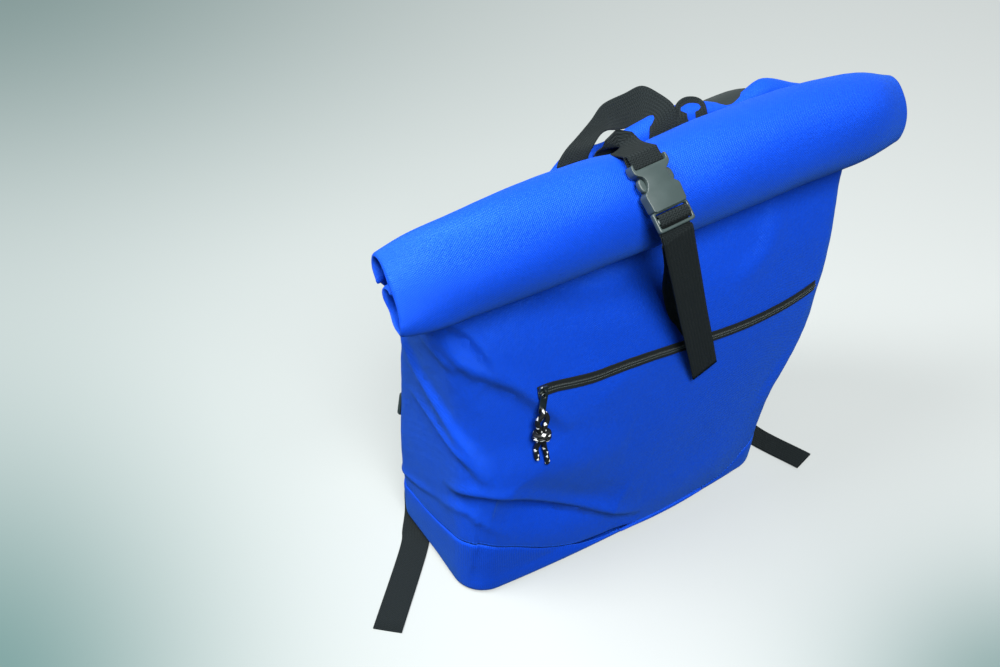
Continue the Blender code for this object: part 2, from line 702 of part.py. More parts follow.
def frame_at(origin, across, down):
    """A place with X across, Y down the strap and Z out of the piece's face."""
    down = Vector(down).normalized()
    out = Vector(across).cross(down).normalized()
    across = down.cross(out)
    frame = Matrix((across, down, out)).transposed().to_4x4()
    frame.translation = Vector(origin)
    return frame


def moved(frame, points):
    """Local points in the frame of a place, as world points."""
    frame = np.array(frame)
    return np.asarray(points, float) @ frame[:3, :3].T + frame[:3, 3]


def buckle_frame():
    """The buckle's place."""
    down = Vector((0.0, -math.sin(BUCKLE_LEAN), -math.cos(BUCKLE_LEAN)))
    out = Vector((0.0, -math.cos(BUCKLE_LEAN), math.sin(BUCKLE_LEAN)))
    across = down.cross(out)
    spin = Matrix.Rotation(BUCKLE_SWING, 3, out)
    return frame_at(BUCKLE_CENTRE, spin @ across, spin @ down)


def ladder_wrap():
    """Webbing's way round a ladder's middle bar, as drop below the bar's top and height over the middle
    plane: up behind both bars, over the bar, in through the return slot and down behind the lip."""
    back = -STRAND - WEBBING_THICK - PIECE_GAP
    turn = STRAND - LADDER_THICK / 2
    slot = MID_BAR + RETURN_SLOT / 2
    return np.array(
        [
            (MID_BAR + RETURN_SLOT + LIP + LEAD, back),
            (MID_BAR + RETURN_SLOT, back),
            (MID_BAR / 2, back),
            (-0.1 * turn, back + 0.5 * turn),
            (-1.2 * turn, -STRAND * 0.78),
            (-1.3 * turn, 0.0),
            (-1.2 * turn, STRAND * 0.64),
            (-0.1 * turn, STRAND),
            (MID_BAR / 2, STRAND * 1.04),
            (MID_BAR + 0.4 * turn, STRAND * 0.92),
            (slot - 0.2 * turn, LADDER_THICK / 8),
            (slot + 0.5 * turn, -LADDER_THICK / 2),
            (slot + 1.3 * turn, -STRAND * 0.95),
            (MID_BAR + RETURN_SLOT + LIP / 2, -STRAND),
            (MID_BAR + RETURN_SLOT + LIP + LEAD, -STRAND),
        ]
    )


def make_handles(skin, webbing):
    """The haul handle and the hang loop, sewn in the valley behind the roll."""
    rows = smooth_path(HANDLE, 3)
    edges = []
    for side in (rows[:, :3], rows[:, 3:]):
        x = HANDLE_CENTRE + side[:, 0] * HANDLE_SPAN
        roots = [valley(skin, x[end], WEBBING) for end in (0, -1)]
        root = np.interp(side[:, 0], (side[0, 0], side[-1, 0]), roots)
        y = side[:, 1] * HANDLE_BACK - ROOT_REACH
        edges.append(np.stack([x, y, root + side[:, 2] * HANDLE_RISE], axis=-1))
    strip("haul_handle", edges, WEBBING_THICK, webbing)

    rows = smooth_path(LOOP, 3)
    x = LOOP_CENTRE + rows[:, 0] * LOOP_SPAN
    root = valley(skin, LOOP_CENTRE, LOOP_SPAN + 2 * LOOP_WIDTH)
    path = np.stack([x, rows[:, 1] * LOOP_BACK - ROOT_REACH, root + rows[:, 2] * LOOP_RISE], axis=-1)
    turn = np.radians(rows[:, 3])
    front = -np.sin(turn)
    sides = np.stack([np.cos(turn), front * math.cos(LOOP_TIP), front * math.sin(LOOP_TIP)], axis=-1)
    strip("hang_loop", edges_of(path, sides, LOOP_WIDTH), WEBBING_THICK, webbing)


def make_closing_strap(skin, webbing):
    """The strap's upper half, from its root over the roll's crest and round the socket's bar, and its lower
    half, from the front panel up round the plug's bar and down to its free end."""
    place = buckle_frame()
    across = np.array(place)[:3, 0]
    root = np.array([CLOSING_OFFSET, -ROOT_REACH, valley(skin, CLOSING_OFFSET, WEBBING)])
    bar = SOCKET_LENGTH / 2 - TOP_BAR / 2
    turn = TOP_BAR / 2 + WEBBING_THICK / 2 + PIECE_GAP
    bar_out = -SOCKET_THICK / 8
    loop = [
        (0.0, -bar - 3.2 * turn, bar_out + turn * 1.1),
        (0.0, -bar, bar_out + turn * 1.15),
        (0.0, -bar + 0.7 * turn, bar_out + turn),
        (0.0, -bar + 1.15 * turn, bar_out),
        (0.0, -bar + 0.7 * turn, bar_out - turn),
        (0.0, -bar, bar_out - turn * 1.15),
        (0.0, -bar - 2.2 * turn, bar_out - turn * 1.05),
        (0.0, -bar - 4.0 * turn, bar_out - turn * 0.65),
    ]
    end = moved(place, loop)
    points = root + np.array(CLOSING) * (end[0] - root)
    path = np.vstack([smooth_path(np.vstack([points, end[:1]]), 3)[:-1], end])
    share = np.clip(np.arange(len(path))[:, None] / (len(path) - len(end)), 0, 1)
    sides = (1 - share) * (1.0, 0.0, 0.0) + share * across
    strip("closing_strap_upper", edges_of(path, sides, WEBBING), WEBBING_THICK, webbing)

    top = SOCKET_LENGTH / 2 + PLUG_BAR + SLOT + PIECE_GAP
    wrap = ladder_wrap()
    wrap = moved(place, np.column_stack([np.zeros(len(wrap)), wrap[:, 0] + top, wrap[:, 1]]))
    lift = DRAPE_GAP + WEBBING_THICK / 2
    fixed = []
    for rise, off in ((-0.5, 1.0), (0.0, 1.3), (0.5, 2.0)):
        x = ANCHOR_X + rise * (wrap[0][0] - ANCHOR_X) / 4
        fixed.append(on_front(skin, x, ANCHOR_HEIGHT + rise * WEBBING) - (0, off * lift, 0))
    for share, out in ((0.30, 0.22), (0.70, 0.72)):
        fixed.append(fixed[2] + (wrap[0] - fixed[2]) * (share, out, share))
    start = wrap[-1]
    layer = 2 * lift + WEBBING_THICK + COIL_THICK
    free = []
    for share in (0.12, 0.32, 0.55, 0.78, 1.0):
        x = start[0] + (FREE_END_X - start[0]) * share
        height = start[2] + (FREE_END_HEIGHT - start[2]) * share
        cloth = on_front(skin, x, min(height, ANCHOR_HEIGHT))[1] - layer
        free.append(np.array([x, min(cloth, start[1] + (cloth - start[1]) * share), height]))
    path = np.vstack([smooth_path([*fixed, wrap[0]], 3)[:-1], wrap[:-1], smooth_path([wrap[-1], *free], 3)])
    strip("closing_strap_lower", edges_of(path, across, WEBBING), WEBBING_THICK, webbing)


def make_buckle(plastic):
    """The side-release buckle: a socket with a bar, and a plug whose two prongs show in the side notches."""
    place = buckle_frame()
    half = BUCKLE_WIDTH / 2
    end = SOCKET_LENGTH / 2
    right = [
        (0.80 * half, end),
        (0.92 * half, 0.7 * end),
        (0.96 * half, 0.28 * end),
        (0.86 * half, 0.14 * end),
        (0.72 * half, -0.04 * end),
        (0.70 * half, -0.22 * end),
        (0.80 * half, -0.40 * end),
        (0.94 * half, -0.52 * end),
        (half, -0.66 * end),
        (half, -0.90 * end),
        (0.94 * half, -end),
    ]
    outline = right + [(-x, y) for x, y in reversed(right)]
    socket = plate("buckle_socket", outline, (), SOCKET_THICK, place, plastic, SOCKET_WALL / 3)
    cutters = bpy.data.collections.new(NAME + "_cutters")
    bpy.context.scene.collection.children.link(cutters)
    cutters.hide_render = True
    inside = BUCKLE_WIDTH / 2 - 2 * SOCKET_WALL
    room = LADDER_THICK / 2 + PIECE_GAP
    bar_out = SOCKET_THICK / 8
    bar_low = end - TOP_BAR
    slot = WEBBING / 2 + PIECE_GAP
    cuts = (
        ("prong_room", (-inside, -0.52 * end, -room), (inside, 1.2 * end, room)),
        ("bar_slot", (-slot, -bar_low, -0.8 * end), (slot, -0.62 * end, room)),
        ("bar_front", (-1.01 * slot, -1.2 * end, TOP_BAR / 2 - bar_out), (1.01 * slot, -0.68 * end, end)),
        ("bar_back", (-1.02 * slot, -1.3 * end, -end), (1.02 * slot, -0.60 * end, -TOP_BAR / 2 - bar_out)),
    )
    for name, low, high in cuts:
        mesh = bpy.data.meshes.new(name)
        work = bmesh.new()
        bmesh.ops.create_cube(work, size=1.0)
        work.to_mesh(mesh)
        work.free()
        size = [b - a for a, b in zip(low, high)]
        centre = [(a + b) / 2 for a, b in zip(low, high)]
        mesh.transform(place @ Matrix.Translation(centre) @ Matrix.Diagonal((*size, 1.0)))
        cutter = bpy.data.objects.new(name, mesh)
        cutter.display_type = "WIRE"
        cutter.hide_render = True
        cutters.objects.link(cutter)
        cut = socket.modifiers.new(name, "BOOLEAN")
        cut.operation = "DIFFERENCE"
        cut.solver = "EXACT"
        cut.object = cutter

    arm = inside - PIECE_GAP
    shoulder = end + PIECE_GAP
    low = shoulder + PLUG_BAR + SLOT + MID_BAR + RETURN_SLOT + LIP
    right = [
        (0.16 * half, 0.10 * end),
        (0.17 * half, 0.84 * end),
        (0.58 * half, 0.84 * end),
        (0.58 * half, 0.10 * end),
        (0.64 * half, -0.30 * end),
        (0.70 * half, -0.38 * end),
        (0.78 * half, -0.34 * end),
        (0.84 * half, -0.20 * end),
        (0.80 * half, -0.08 * end),
        (arm, 0.02 * end),
        (arm, shoulder),
        (half, shoulder),
        (half, low - LIP),
        (0.94 * half, low - LIP / 3),
        (0.80 * half, low),
    ]
    outline = right + [(-x, y) for x, y in reversed(right)]
    top = shoulder + PLUG_BAR
    window = WEBBING + 2 * PIECE_GAP
    holes = (
        ring_of(window, SLOT, top + SLOT / 2, 2 * PIECE_GAP, 2),
        ring_of(window, RETURN_SLOT, top + SLOT + MID_BAR + RETURN_SLOT / 2, 2 * PIECE_GAP, 2),
    )
    plate("buckle_plug", outline, holes, LADDER_THICK, place, plastic, 0.0)


def section_ring(centre, side, out, width, thick):
    """Eight points round a band's section, with eased corners."""
    half = width / 2
    deep = thick / 2
    ease = deep * 0.45
    corners = (
        (half, deep - ease),
        (half - ease, deep),
        (ease - half, deep),
        (-half, deep - ease),
        (-half, ease - deep),
        (ease - half, -deep),
        (half - ease, -deep),
        (half, ease - deep),
    )
    return np.array([centre + side * x + out * z for x, z in corners])


def make_shoulder_strap(hand, skin, padding, webbing, plastic):
    """A padded strap from the valley behind the roll, its adjuster, and the webbing from the base."""
    end = "left" if hand < 0 else "right"
    rows = np.array(STRAP)
    x = hand * rows[:, 0] * STRAP_SPREAD
    root_y = STRAP_ROOT_LEFT - ROOT_REACH if hand < 0 else -ROOT_REACH
    y = root_y + rows[:, 2] * (STRAP_BACK - root_y)
    top = valley(skin, x[0], 0.0) + (STRAP_RISE_LEFT if hand < 0 else STRAP_RISE_RIGHT)
    z = top - rows[:, 1] * STRAP_DROP
    points = np.stack([x, y, z], axis=-1)
    low = points[-1]
    run = Vector(points[-1] - points[-2]).normalized()
    place = frame_at(low, (1.0, 0.0, 0.0), run)
    if (place @ Vector((0.0, 0.0, 1.0)) - place.translation).y < 0:
        place = frame_at(low, (-1.0, 0.0, 0.0), run)
    across = np.array(place)[:3, 0]
    drop = SEWN_TAIL / 2
    low_bar = drop + STRAND + TOP_BAR
    loop = [
        (0.0, drop, STRAND * 0.3),
        (0.0, drop + STRAND, STRAND),
        (0.0, low_bar, STRAND * 1.03),
        (0.0, low_bar + STRAND * 0.45, STRAND * 0.55),
        (0.0, low_bar + STRAND * 0.56, 0.0),
        (0.0, low_bar + STRAND * 0.45, STRAND * -0.55),
        (0.0, low_bar, STRAND * -1.03),
        (0.0, drop + STRAND, -STRAND),
        (0.0, drop, STRAND * -0.7),
    ]
    path = np.vstack([smooth_path(points, 2), moved(place, loop)])
    count = len(path)
    table = np.vstack([smooth_path(rows[:, [3, 4, 4]], 2), np.zeros((len(loop), 3))])
    width = np.maximum(table[:, 0] * PAD_WIDTH, WEBBING)
    thick = np.maximum(table[:, 1] * PAD_THICK, WEBBING_THICK)
    run = unit(np.gradient(path, axis=0))
    share = np.clip(np.arange(count)[:, None] / (count - len(loop) - 2), 0, 1)
    side = (1 - share) * (1.0, 0.0, 0.0) + share * across
    side = unit(side - run * np.sum(side * run, axis=1)[:, None])
    out = np.cross(run, side)
    rings = [section_ring(*values) for values in zip(path, side, out, width, thick)]
    faces = loft_faces(8, count)
    last = (count - 1) * 8
    faces += [list(range(8)), [last + index for index in range(8)]]
    name = "shoulder_strap_" + end
    add_object(name, closed_mesh(name, np.vstack(rings), faces), padding)

    bar_top = low_bar - TOP_BAR
    length = TOP_BAR + WIDE_SLOT + MID_BAR + RETURN_SLOT + LIP
    window = WEBBING + 2 * PIECE_GAP
    body = window + 2 * TOP_BAR
    ladder = place @ Matrix.Translation((0.0, bar_top, 0.0))
    holes = (
        ring_of(window, WIDE_SLOT, TOP_BAR + WIDE_SLOT / 2, 2 * PIECE_GAP, 2),
        ring_of(window, RETURN_SLOT, TOP_BAR + WIDE_SLOT + MID_BAR + RETURN_SLOT / 2, 2 * PIECE_GAP, 2),
    )
    outline = ring_of(body, length, length / 2, TOP_BAR)
    plate("strap_adjuster_" + end, outline, holes, LADDER_THICK, ladder, plastic, PIECE_GAP / 2)

    wrap = ladder_wrap()
    wrap = np.column_stack([np.zeros(len(wrap)), wrap[:, 0] + TOP_BAR + WIDE_SLOT, wrap[:, 1]])
    wrap = moved(ladder, wrap)
    root_x = hand * LOWER_ROOT_X
    lift = (0.0, DRAPE_GAP + WEBBING_THICK / 2, 0.0)
    fixed = []
    for rise in (-0.5, 0.0, 0.5):
        height = LOWER_ROOT_HEIGHT + rise * WEBBING
        fixed.append(cast(skin, (root_x, 1.0, height), (0.0, -1.0, 0.0)) + lift)
    start = np.array([wrap[-1][0], wrap[-1][1], 0.0])
    free = [(*wrap[-1], 0.0)]
    for row in FREE_LEFT if hand < 0 else FREE_RIGHT:
        place = start + np.array([hand * row.out, -row.forward, row.height]) * WEBBING
        free.append((*place, row.turn))
    first = smooth_path([*fixed, wrap[0]], 2)[:-1]
    last = smooth_path(free, 3)
    turn = np.radians(last[:, 3])
    level = np.stack([np.cos(turn), np.sin(turn), np.zeros(len(turn))], axis=-1)
    path = np.vstack([first, wrap[:-1], last[:, :3]])
    sides = np.vstack([np.tile((1.0, 0.0, 0.0), (len(first), 1)), np.tile(across, (len(wrap) - 1, 1)), level])
    strip("lower_webbing_" + end, edges_of(path, sides, WEBBING), WEBBING_THICK, webbing)


def zip_line(skin, up, lift):
    """A line along the zipper, this far above its middle and this far off the cloth."""
    x = np.linspace(ZIP_LEFT, ZIP_RIGHT, round((ZIP_RIGHT - ZIP_LEFT) / ZIP_STEP) + 1)
    share = (x - ZIP_LEFT) / (ZIP_RIGHT - ZIP_LEFT)
    height = ZIP_HEIGHT + ZIP_DROP * (np.cos(math.pi * share) + 0.7 * share**6) + up
    return np.array([on_front(skin, a, b) - (0.0, lift, 0.0) for a, b in zip(x, height)])


def make_zipper(skin, tape, metal, cord_finish):
    """Both tapes, the coil, the slider with its bail, the puller, and the cord with its knot."""
    gap = COIL_WIDTH / 2 + PIECE_GAP
    lift = DRAPE_GAP + TAPE_THICK / 2
    for name, near, far in (("upper", gap, gap + TAPE_WIDTH), ("lower", -gap - TAPE_WIDTH, -gap)):
        edges = (zip_line(skin, near, lift), zip_line(skin, far, lift))
        strip("zipper_tape_" + name, edges, TAPE_THICK, tape)
    lift = DRAPE_GAP + COIL_THICK / 2
    edges = (zip_line(skin, -COIL_WIDTH / 2, lift), zip_line(skin, COIL_WIDTH / 2, lift))
    strip("zipper_coil", edges, COIL_THICK, tape)

    middle = zip_line(skin, 0.0, 0.0)
    origin = middle[0] + SLIDER_WIDTH / 2 * unit(middle[1] - middle[0])
    low = on_front(skin, origin[0] - PULLER_SWING, origin[2] - PULLER_LENGTH)
    place = frame_at(origin, (-1.0, 0.0, 0.0), low - origin)
    bulge = 0.0
    for share in np.linspace(0, 1, 12):
        point = on_front(skin, origin[0], origin[2] + (low[2] - origin[2]) * share)
        bulge = max(bulge, (place.inverted() @ Vector(point)).z)
    place = place @ Matrix.Translation((0.0, 0.0, bulge))
    top = DRAPE_GAP + COIL_THICK + PIECE_GAP
    seat = place @ Matrix.Translation((0.0, 0.0, top + SLIDER_THICK / 2))
    outline = ring_of(SLIDER_WIDTH, SLIDER_LENGTH, 0.0, SLIDER_WIDTH / 4)
    slider = plate("zipper_slider", outline, (), SLIDER_THICK, seat, metal, PIECE_GAP)
    bail = bpy.data.curves.new("bail", "CURVE")
    bail.dimensions = "3D"
    bail.bevel_depth = BAIL_WIRE / 2
    bail.bevel_resolution = 1
    bail.use_fill_caps = True
    spline = bail.splines.new("POLY")
    rise = SLIDER_THICK / 2 + BAIL_RISE
    way = [(-1.0, 0.0), (-1.0, 0.7), (-0.7, 1.0), (0.0, 1.08), (0.7, 1.0), (1.0, 0.7), (1.0, 0.0)]
    spline.points.add(len(way) - 1)
    for point, (along, up) in zip(spline.points, way):
        point.co = (0.0, along * BAIL_LENGTH / 2, up * rise, 1.0)
    guide = bpy.data.objects.new("bail", bail)
    bpy.context.scene.collection.objects.link(guide)
    mesh = bpy.data.meshes.new_from_object(guide.evaluated_get(bpy.context.evaluated_depsgraph_get()))
    bpy.data.objects.remove(guide)
    work = bmesh.new()
    work.from_mesh(mesh)
    bmesh.ops.remove_doubles(work, verts=work.verts, dist=1e-6)
    bmesh.ops.recalc_face_normals(work, faces=work.faces)
    work.to_mesh(mesh)
    work.free()
    mesh.transform(seat)
    tool = bpy.data.objects.new("bail", mesh)
    tool.hide_render = True
    tool.display_type = "WIRE"
    bpy.data.collections[NAME + "_cutters"].objects.link(tool)
    join = slider.modifiers.new("bail", "BOOLEAN")
    join.operation = "UNION"
    join.solver = "EXACT"
    join.object = tool

    stand = top + SLIDER_THICK + PIECE_GAP + PULLER_THICK / 2
    rim = PULLER_LENGTH - CORD_RIM / 2
    hang = place @ Matrix.Translation((0.0, BAIL_LENGTH / 2 - BAIL_WIRE / 2 - PIECE_GAP, 0.0))
    flat = hang @ Matrix.Translation((0.0, -CORD_RIM, stand))
    outline = ring_of(PULLER_WIDTH, PULLER_LENGTH, PULLER_LENGTH / 2, PULLER_WIDTH / 3)
    holes = (
        ring_of(BAIL_WIRE * 2.4, BAIL_WIRE * 2.6, CORD_RIM + BAIL_WIRE * 1.3, BAIL_WIRE / 2, 2),
        ring_of(CORD_HOLE, CORD_HOLE, PULLER_LENGTH - CORD_RIM - CORD_HOLE / 2, CORD_HOLE / 2.2, 3),
    )
    plate("zipper_puller", outline, holes, PULLER_THICK, flat, metal, PULLER_THICK / 5)

    rim_place = flat @ Matrix.Translation((0.0, rim, 0.0))
    bend = CORD_RIM / 2 + CORD / 2 + 2 * PIECE_GAP
    over = [(0.0, -bend * math.sin(a), bend * math.cos(a)) for a in np.linspace(0, math.pi, 5)]
    over = moved(rim_place, over)

    def hanging(rows):
        points = []
        for row in rows:
            x = over[2][0] + row.across * CORD
            z = over[0][2] - row.drop * CORD_STEP
            points.append(on_front(skin, x, z) - (0.0, row.stand * CORD + bulge, 0.0))
        return points

    path = smooth_path([*hanging(FRONT_STRAND), *over, *hanging(BACK_STRAND)[::-1]], 4)
    tube("pull_cord", resampled(path, CORD * 1.4), CORD, cord_finish)

    knot = hanging([CordPoint(0.0, 11.6, 2.05)])[0]
    wide = CORD * 1.12 + CORD / 2 + PIECE_GAP * 2
    deep = CORD + PIECE_GAP * 2
    turns = np.linspace(0, 4.4 * math.pi, 21)
    helix = [wide * np.sin(turns), deep * -np.cos(turns), KNOT_PITCH * (turns / math.tau - 1.1)]
    tube("pull_cord_knot", knot + np.stack(helix, axis=-1), CORD, cord_finish)


def tube(name, path, thick, material):
    """A round cord along a path, with closed ends."""
    curve = bpy.data.curves.new(name, "CURVE")
    curve.dimensions = "3D"
    curve.bevel_depth = thick / 2
    curve.bevel_resolution = 2
    curve.use_fill_caps = True
    spline = curve.splines.new("POLY")
    spline.points.add(len(path) - 1)
    spline.points.foreach_set("co", np.column_stack([path, np.ones(len(path))]).ravel())
    spline.use_smooth = True
    curve.materials.append(material)
    cord = bpy.data.objects.new(name, curve)
    bpy.data.collections[NAME].objects.link(cord)
    return cord


def main():
    """Clears the scene and builds every piece."""
    for obj in list(bpy.data.objects):
        bpy.data.objects.remove(obj)
    collection = bpy.data.collections.new(NAME)
    bpy.context.scene.collection.children.link(collection)
    cloth = make_material("blue_cloth", (0.010, 0.075, 0.62), 0.62)
    webbing = make_material("black_webbing", (0.012, 0.015, 0.016), 0.70)
    padding = make_material("grey_padding", (0.030, 0.034, 0.033), 0.65)
    plastic = make_material("grey_plastic", (0.040, 0.052, 0.050), 0.34)
    tape = make_material("black_tape", (0.010, 0.011, 0.012), 0.60)
    metal = make_material("gunmetal", (0.09, 0.09, 0.09), 0.35, 1.0)
    cord = make_material("black_cord", (0.014, 0.014, 0.015), 0.60)

    body = make_body(cloth)
    tray = make_tray(cloth)
    skin = skin_of(body, tray)
    make_handles(skin, webbing)
    make_closing_strap(skin, webbing)
    make_buckle(plastic)
    make_zipper(skin, tape, metal, cord)
    for hand in (-1, 1):
        make_shoulder_strap(hand, skin, padding, webbing, plastic)


main()
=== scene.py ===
"""Visual model of a rolltop backpack in blue woven cloth, standing on a pale studio floor.

The cloth, webbing, zipper, cord and buckle are surfaces worked out from their named sizes, in metres, in the
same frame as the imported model: the origin is the middle of the base on the floor and the front faces -Y.
"""

import sys
import logging
import math
from dataclasses import dataclass
from enum import Enum
from typing import Sequence

import bmesh
import bpy
import numpy as np
from mathutils import Matrix, Vector
from mathutils.bvhtree import BVHTree


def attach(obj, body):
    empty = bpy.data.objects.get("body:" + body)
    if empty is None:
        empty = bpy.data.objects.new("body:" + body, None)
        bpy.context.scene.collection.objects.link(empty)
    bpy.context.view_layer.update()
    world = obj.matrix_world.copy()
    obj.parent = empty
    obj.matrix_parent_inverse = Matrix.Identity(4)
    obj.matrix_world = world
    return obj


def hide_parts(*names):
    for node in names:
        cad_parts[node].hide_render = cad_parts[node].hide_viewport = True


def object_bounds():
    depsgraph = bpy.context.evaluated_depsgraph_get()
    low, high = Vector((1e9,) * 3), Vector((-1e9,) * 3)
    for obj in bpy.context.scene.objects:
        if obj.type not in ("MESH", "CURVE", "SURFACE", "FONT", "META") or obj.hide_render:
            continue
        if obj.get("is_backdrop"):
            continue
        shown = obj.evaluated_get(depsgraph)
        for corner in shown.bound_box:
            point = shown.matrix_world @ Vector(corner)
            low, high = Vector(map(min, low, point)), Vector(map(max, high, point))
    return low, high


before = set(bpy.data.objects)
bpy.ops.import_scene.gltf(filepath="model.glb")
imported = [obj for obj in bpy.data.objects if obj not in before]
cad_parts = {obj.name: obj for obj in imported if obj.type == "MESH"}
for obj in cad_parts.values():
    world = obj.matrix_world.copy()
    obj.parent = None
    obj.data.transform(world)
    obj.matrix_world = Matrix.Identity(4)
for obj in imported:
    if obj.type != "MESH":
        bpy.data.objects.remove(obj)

Array = np.ndarray
Material = bpy.types.Material
Object = bpy.types.Object
Socket = bpy.types.NodeSocket
log = logging.getLogger("backpack")

# How far before the bag's middle the valley behind the roll lies, where straps and handles are sewn.
VALLEY_REACH = 0.0565


class Slot(Enum):
    """Names of the record's material slots."""

    CLOTH = "blue_cloth"
    WEBBING = "black_webbing"
    PADDING = "grey_padding"
    PLASTIC = "grey_plastic"
    TAPE = "black_tape"
    METAL = "gunmetal"
    CORD = "black_cord"


# Arrays and curves.


def ease(t: Array) -> Array:
    """A smooth step: the cubic from 0 to 1 that is level at both ends."""
    return t * t * (3 - 2 * t)


def squared(wave: Array, power: float) -> Array:
    """A sine or cosine drawn towards -1 and 1, which makes a round section squarish."""
    return np.sign(wave) * np.abs(wave) ** power


class Table:
    """Measures in named columns against the number in the first one, joined by a smooth curve."""

    def __init__(self, names: str, *rows: Sequence[float]) -> None:
        """Keeps the rows' columns by name."""
        values = np.array(rows, float)
        self.keys = values[:, 0]
        self.columns = dict(zip(names.split(), values.T))

    def at(self, column: str, places: Array) -> Array:
        """A cubic with the table's own slopes: a plain ease between neighbours plus what the slopes bend it.

        Args:
            column: the name of the measure.
            places: where to read it, on the scale of the first column.

        Returns:
            The measure at each place.
        """
        keys, values = self.keys, self.columns[column]
        slopes = np.gradient(values, keys)
        places = np.clip(places, keys[0], keys[-1])
        low = np.clip(np.searchsorted(keys, places, side="right") - 1, 0, len(keys) - 2)
        step = keys[low + 1] - keys[low]
        t = (places - keys[low]) / step
        share = ease(t)
        bend = t * (1 - t) * ((1 - t) * slopes[low] - t * slopes[low + 1])
        return values[low] * (1 - share) + values[low + 1] * share + bend * step


def smooth_path(points: Array, parts: int) -> Array:
    """A curve through points or rings of them: each stretch is the cubic through four neighbours.

    Args:
        points: the points to pass through, first axis along the curve.
        parts: how many steps each stretch is cut in.

    Returns:
        The denser points, the last one kept.
    """
    points = np.asarray(points, float)
    ends = np.concatenate([2 * points[:1] - points[1:2], points, 2 * points[-1:] - points[-2:-1]])
    a, b, c, d = (ends[i : len(ends) - 3 + i, None] for i in range(4))
    t = (np.arange(parts) / parts).reshape((1, -1) + (1,) * (points.ndim - 1))
    run = b + ((c - a) * t + (2 * a - 5 * b + 4 * c - d) * t**2 + (3 * b - a - 3 * c + d) * t**3) / 2
    return np.concatenate([run.reshape((-1,) + points.shape[1:]), points[-1:]])


def unit(vectors: Array) -> Array:
    """The vectors at length one."""
    return vectors / np.maximum(np.linalg.norm(vectors, axis=-1, keepdims=True), 1e-12)


def lengths_along(path: Array) -> Array:
    """Distance along the path at each of its points."""
    steps = np.linalg.norm(np.diff(path, axis=0), axis=-1)
    return np.concatenate([[0.0], np.cumsum(steps)])


def evenly(path: Array, step: float) -> Array:
    """The path with its points evenly spaced.

    Args:
        path: points along a curve, with any further columns carried along.
        step: the wanted spacing, in metres.

    Returns:
        The evenly spaced points, both ends kept.
    """
    way = lengths_along(path[:, :3])
    at = np.linspace(0, way[-1], max(3, round(way[-1] / step) + 1))
    return np.stack([np.interp(at, way, path[:, axis]) for axis in range(path.shape[1])], axis=-1)


def ripple(a: Array, b: Array, pitch: float, seed: int) -> Array:
    """Uneven soft waves: seven sines whose directions and pitches come from the seed, over their usual peak.

    Args:
        a, b: the two places on the surface, in metres.
        pitch: the waves' usual length, in metres.
        seed: chooses their directions.

    Returns:
        Heights of about -1 to 1.
    """
    sines, usual_peak = 7, 4.2
    order = np.random.default_rng(seed)
    turn, stretch, phase = order.uniform((0, 0.6, 0), (math.pi, 1.7, math.tau), (sines, 3)).T
    waves = 0.0
    for angle, size, start in zip(turn, stretch, phase):
        waves = waves + np.sin((a * np.cos(angle) + b * np.sin(angle)) * math.tau / (pitch * size) + start)
    return waves / usual_peak


# Meshes.


def mesh_object(name: str, points: Array, faces: list, uv: Array, finish: Material) -> Object:
    """A smooth-shaded piece that rides on the bag, with one UV map in metres.

    Args:
        name: the piece's name.
        points: its vertices.
        faces: its faces, as lists of vertex numbers.
        uv: one place on the cloth for each corner of each face, in order.
        finish: its material.

    Returns:
        The new object.
    """
    mesh = bpy.data.meshes.new(name)
    mesh.from_pydata(points.reshape(-1, 3).tolist(), [], faces)
    mesh.uv_layers.new(name="cloth").data.foreach_set("uv", np.ascontiguousarray(uv, np.float32).ravel())
    mesh.materials.append(finish)
    mesh.shade_smooth()
    piece = bpy.data.objects.new(name, mesh)
    bpy.context.scene.collection.objects.link(piece)
    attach(piece, "root")
    return piece


def grid_faces(rows: int, cols: int, around: bool, closed: bool) -> Array:
    """Quads of a grid of points.

    Args:
        rows, cols: how many points each way.
        around: whether the last column joins the first.
        closed: whether the last row joins the first.

    Returns:
        Four vertex numbers for each face.
    """
    row = np.arange(rows if closed else rows - 1)[:, None]
    col = np.arange(cols if around else cols - 1)
    low, high = row * cols, (row + 1) % rows * cols
    far = (col + 1) % cols
    return np.stack([low + col, low + far, high + far, high + col], axis=-1).reshape(-1, 4)


def tube_faces(rows: int, cols: int) -> list[list[int]]:
    """Quads of a tube's grid of points, and a face over each end."""
    last = (rows - 1) * cols
    ends = [list(range(cols))[::-1], list(range(last, last + cols))]
    return grid_faces(rows, cols, True, False).tolist() + ends


def grid_uv(u: Array, v: Array) -> Array:
    """Corner places for grid_faces, from the places along both sides, each with one more where it closes."""
    across, along = np.meshgrid(u, v)
    place = np.stack([across, along], axis=-1)
    corners = (place[:-1, :-1], place[:-1, 1:], place[1:, 1:], place[1:, :-1])
    return np.stack(corners, axis=2).reshape(-1, 2)


def faces_out(piece: Object) -> Object:
    """The piece with its faces turned outwards."""
    work = bmesh.new()
    work.from_mesh(piece.data)
    bmesh.ops.recalc_face_normals(work, faces=work.faces)
    work.to_mesh(piece.data)
    work.free()
    return piece


def stand_for(piece: Object, node: str) -> Object:
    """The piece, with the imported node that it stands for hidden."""
    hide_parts(node)
    return piece


def tube_object(name: str, rings: Array, finish: Material) -> Object:
    """A closed form through rings of points, capped at both ends.

    Args:
        name: the piece's name.
        rings: (stations, points round, 3).
        finish: its material.

    Returns:
        The new object, its UV map running round and along in metres.
    """
    count, around = rings.shape[:2]
    middle = rings[count // 2]
    u = lengths_along(np.concatenate([middle, middle[:1]]))
    v = lengths_along(rings.mean(axis=1))
    flat = np.tile([[u[around // 4], v[0]], [u[around // 4], v[-1]]], (1, around)).reshape(-1, 2)
    uv = np.concatenate([grid_uv(u, v), flat])
    return faces_out(mesh_object(name, rings, tube_faces(count, around), uv, finish))


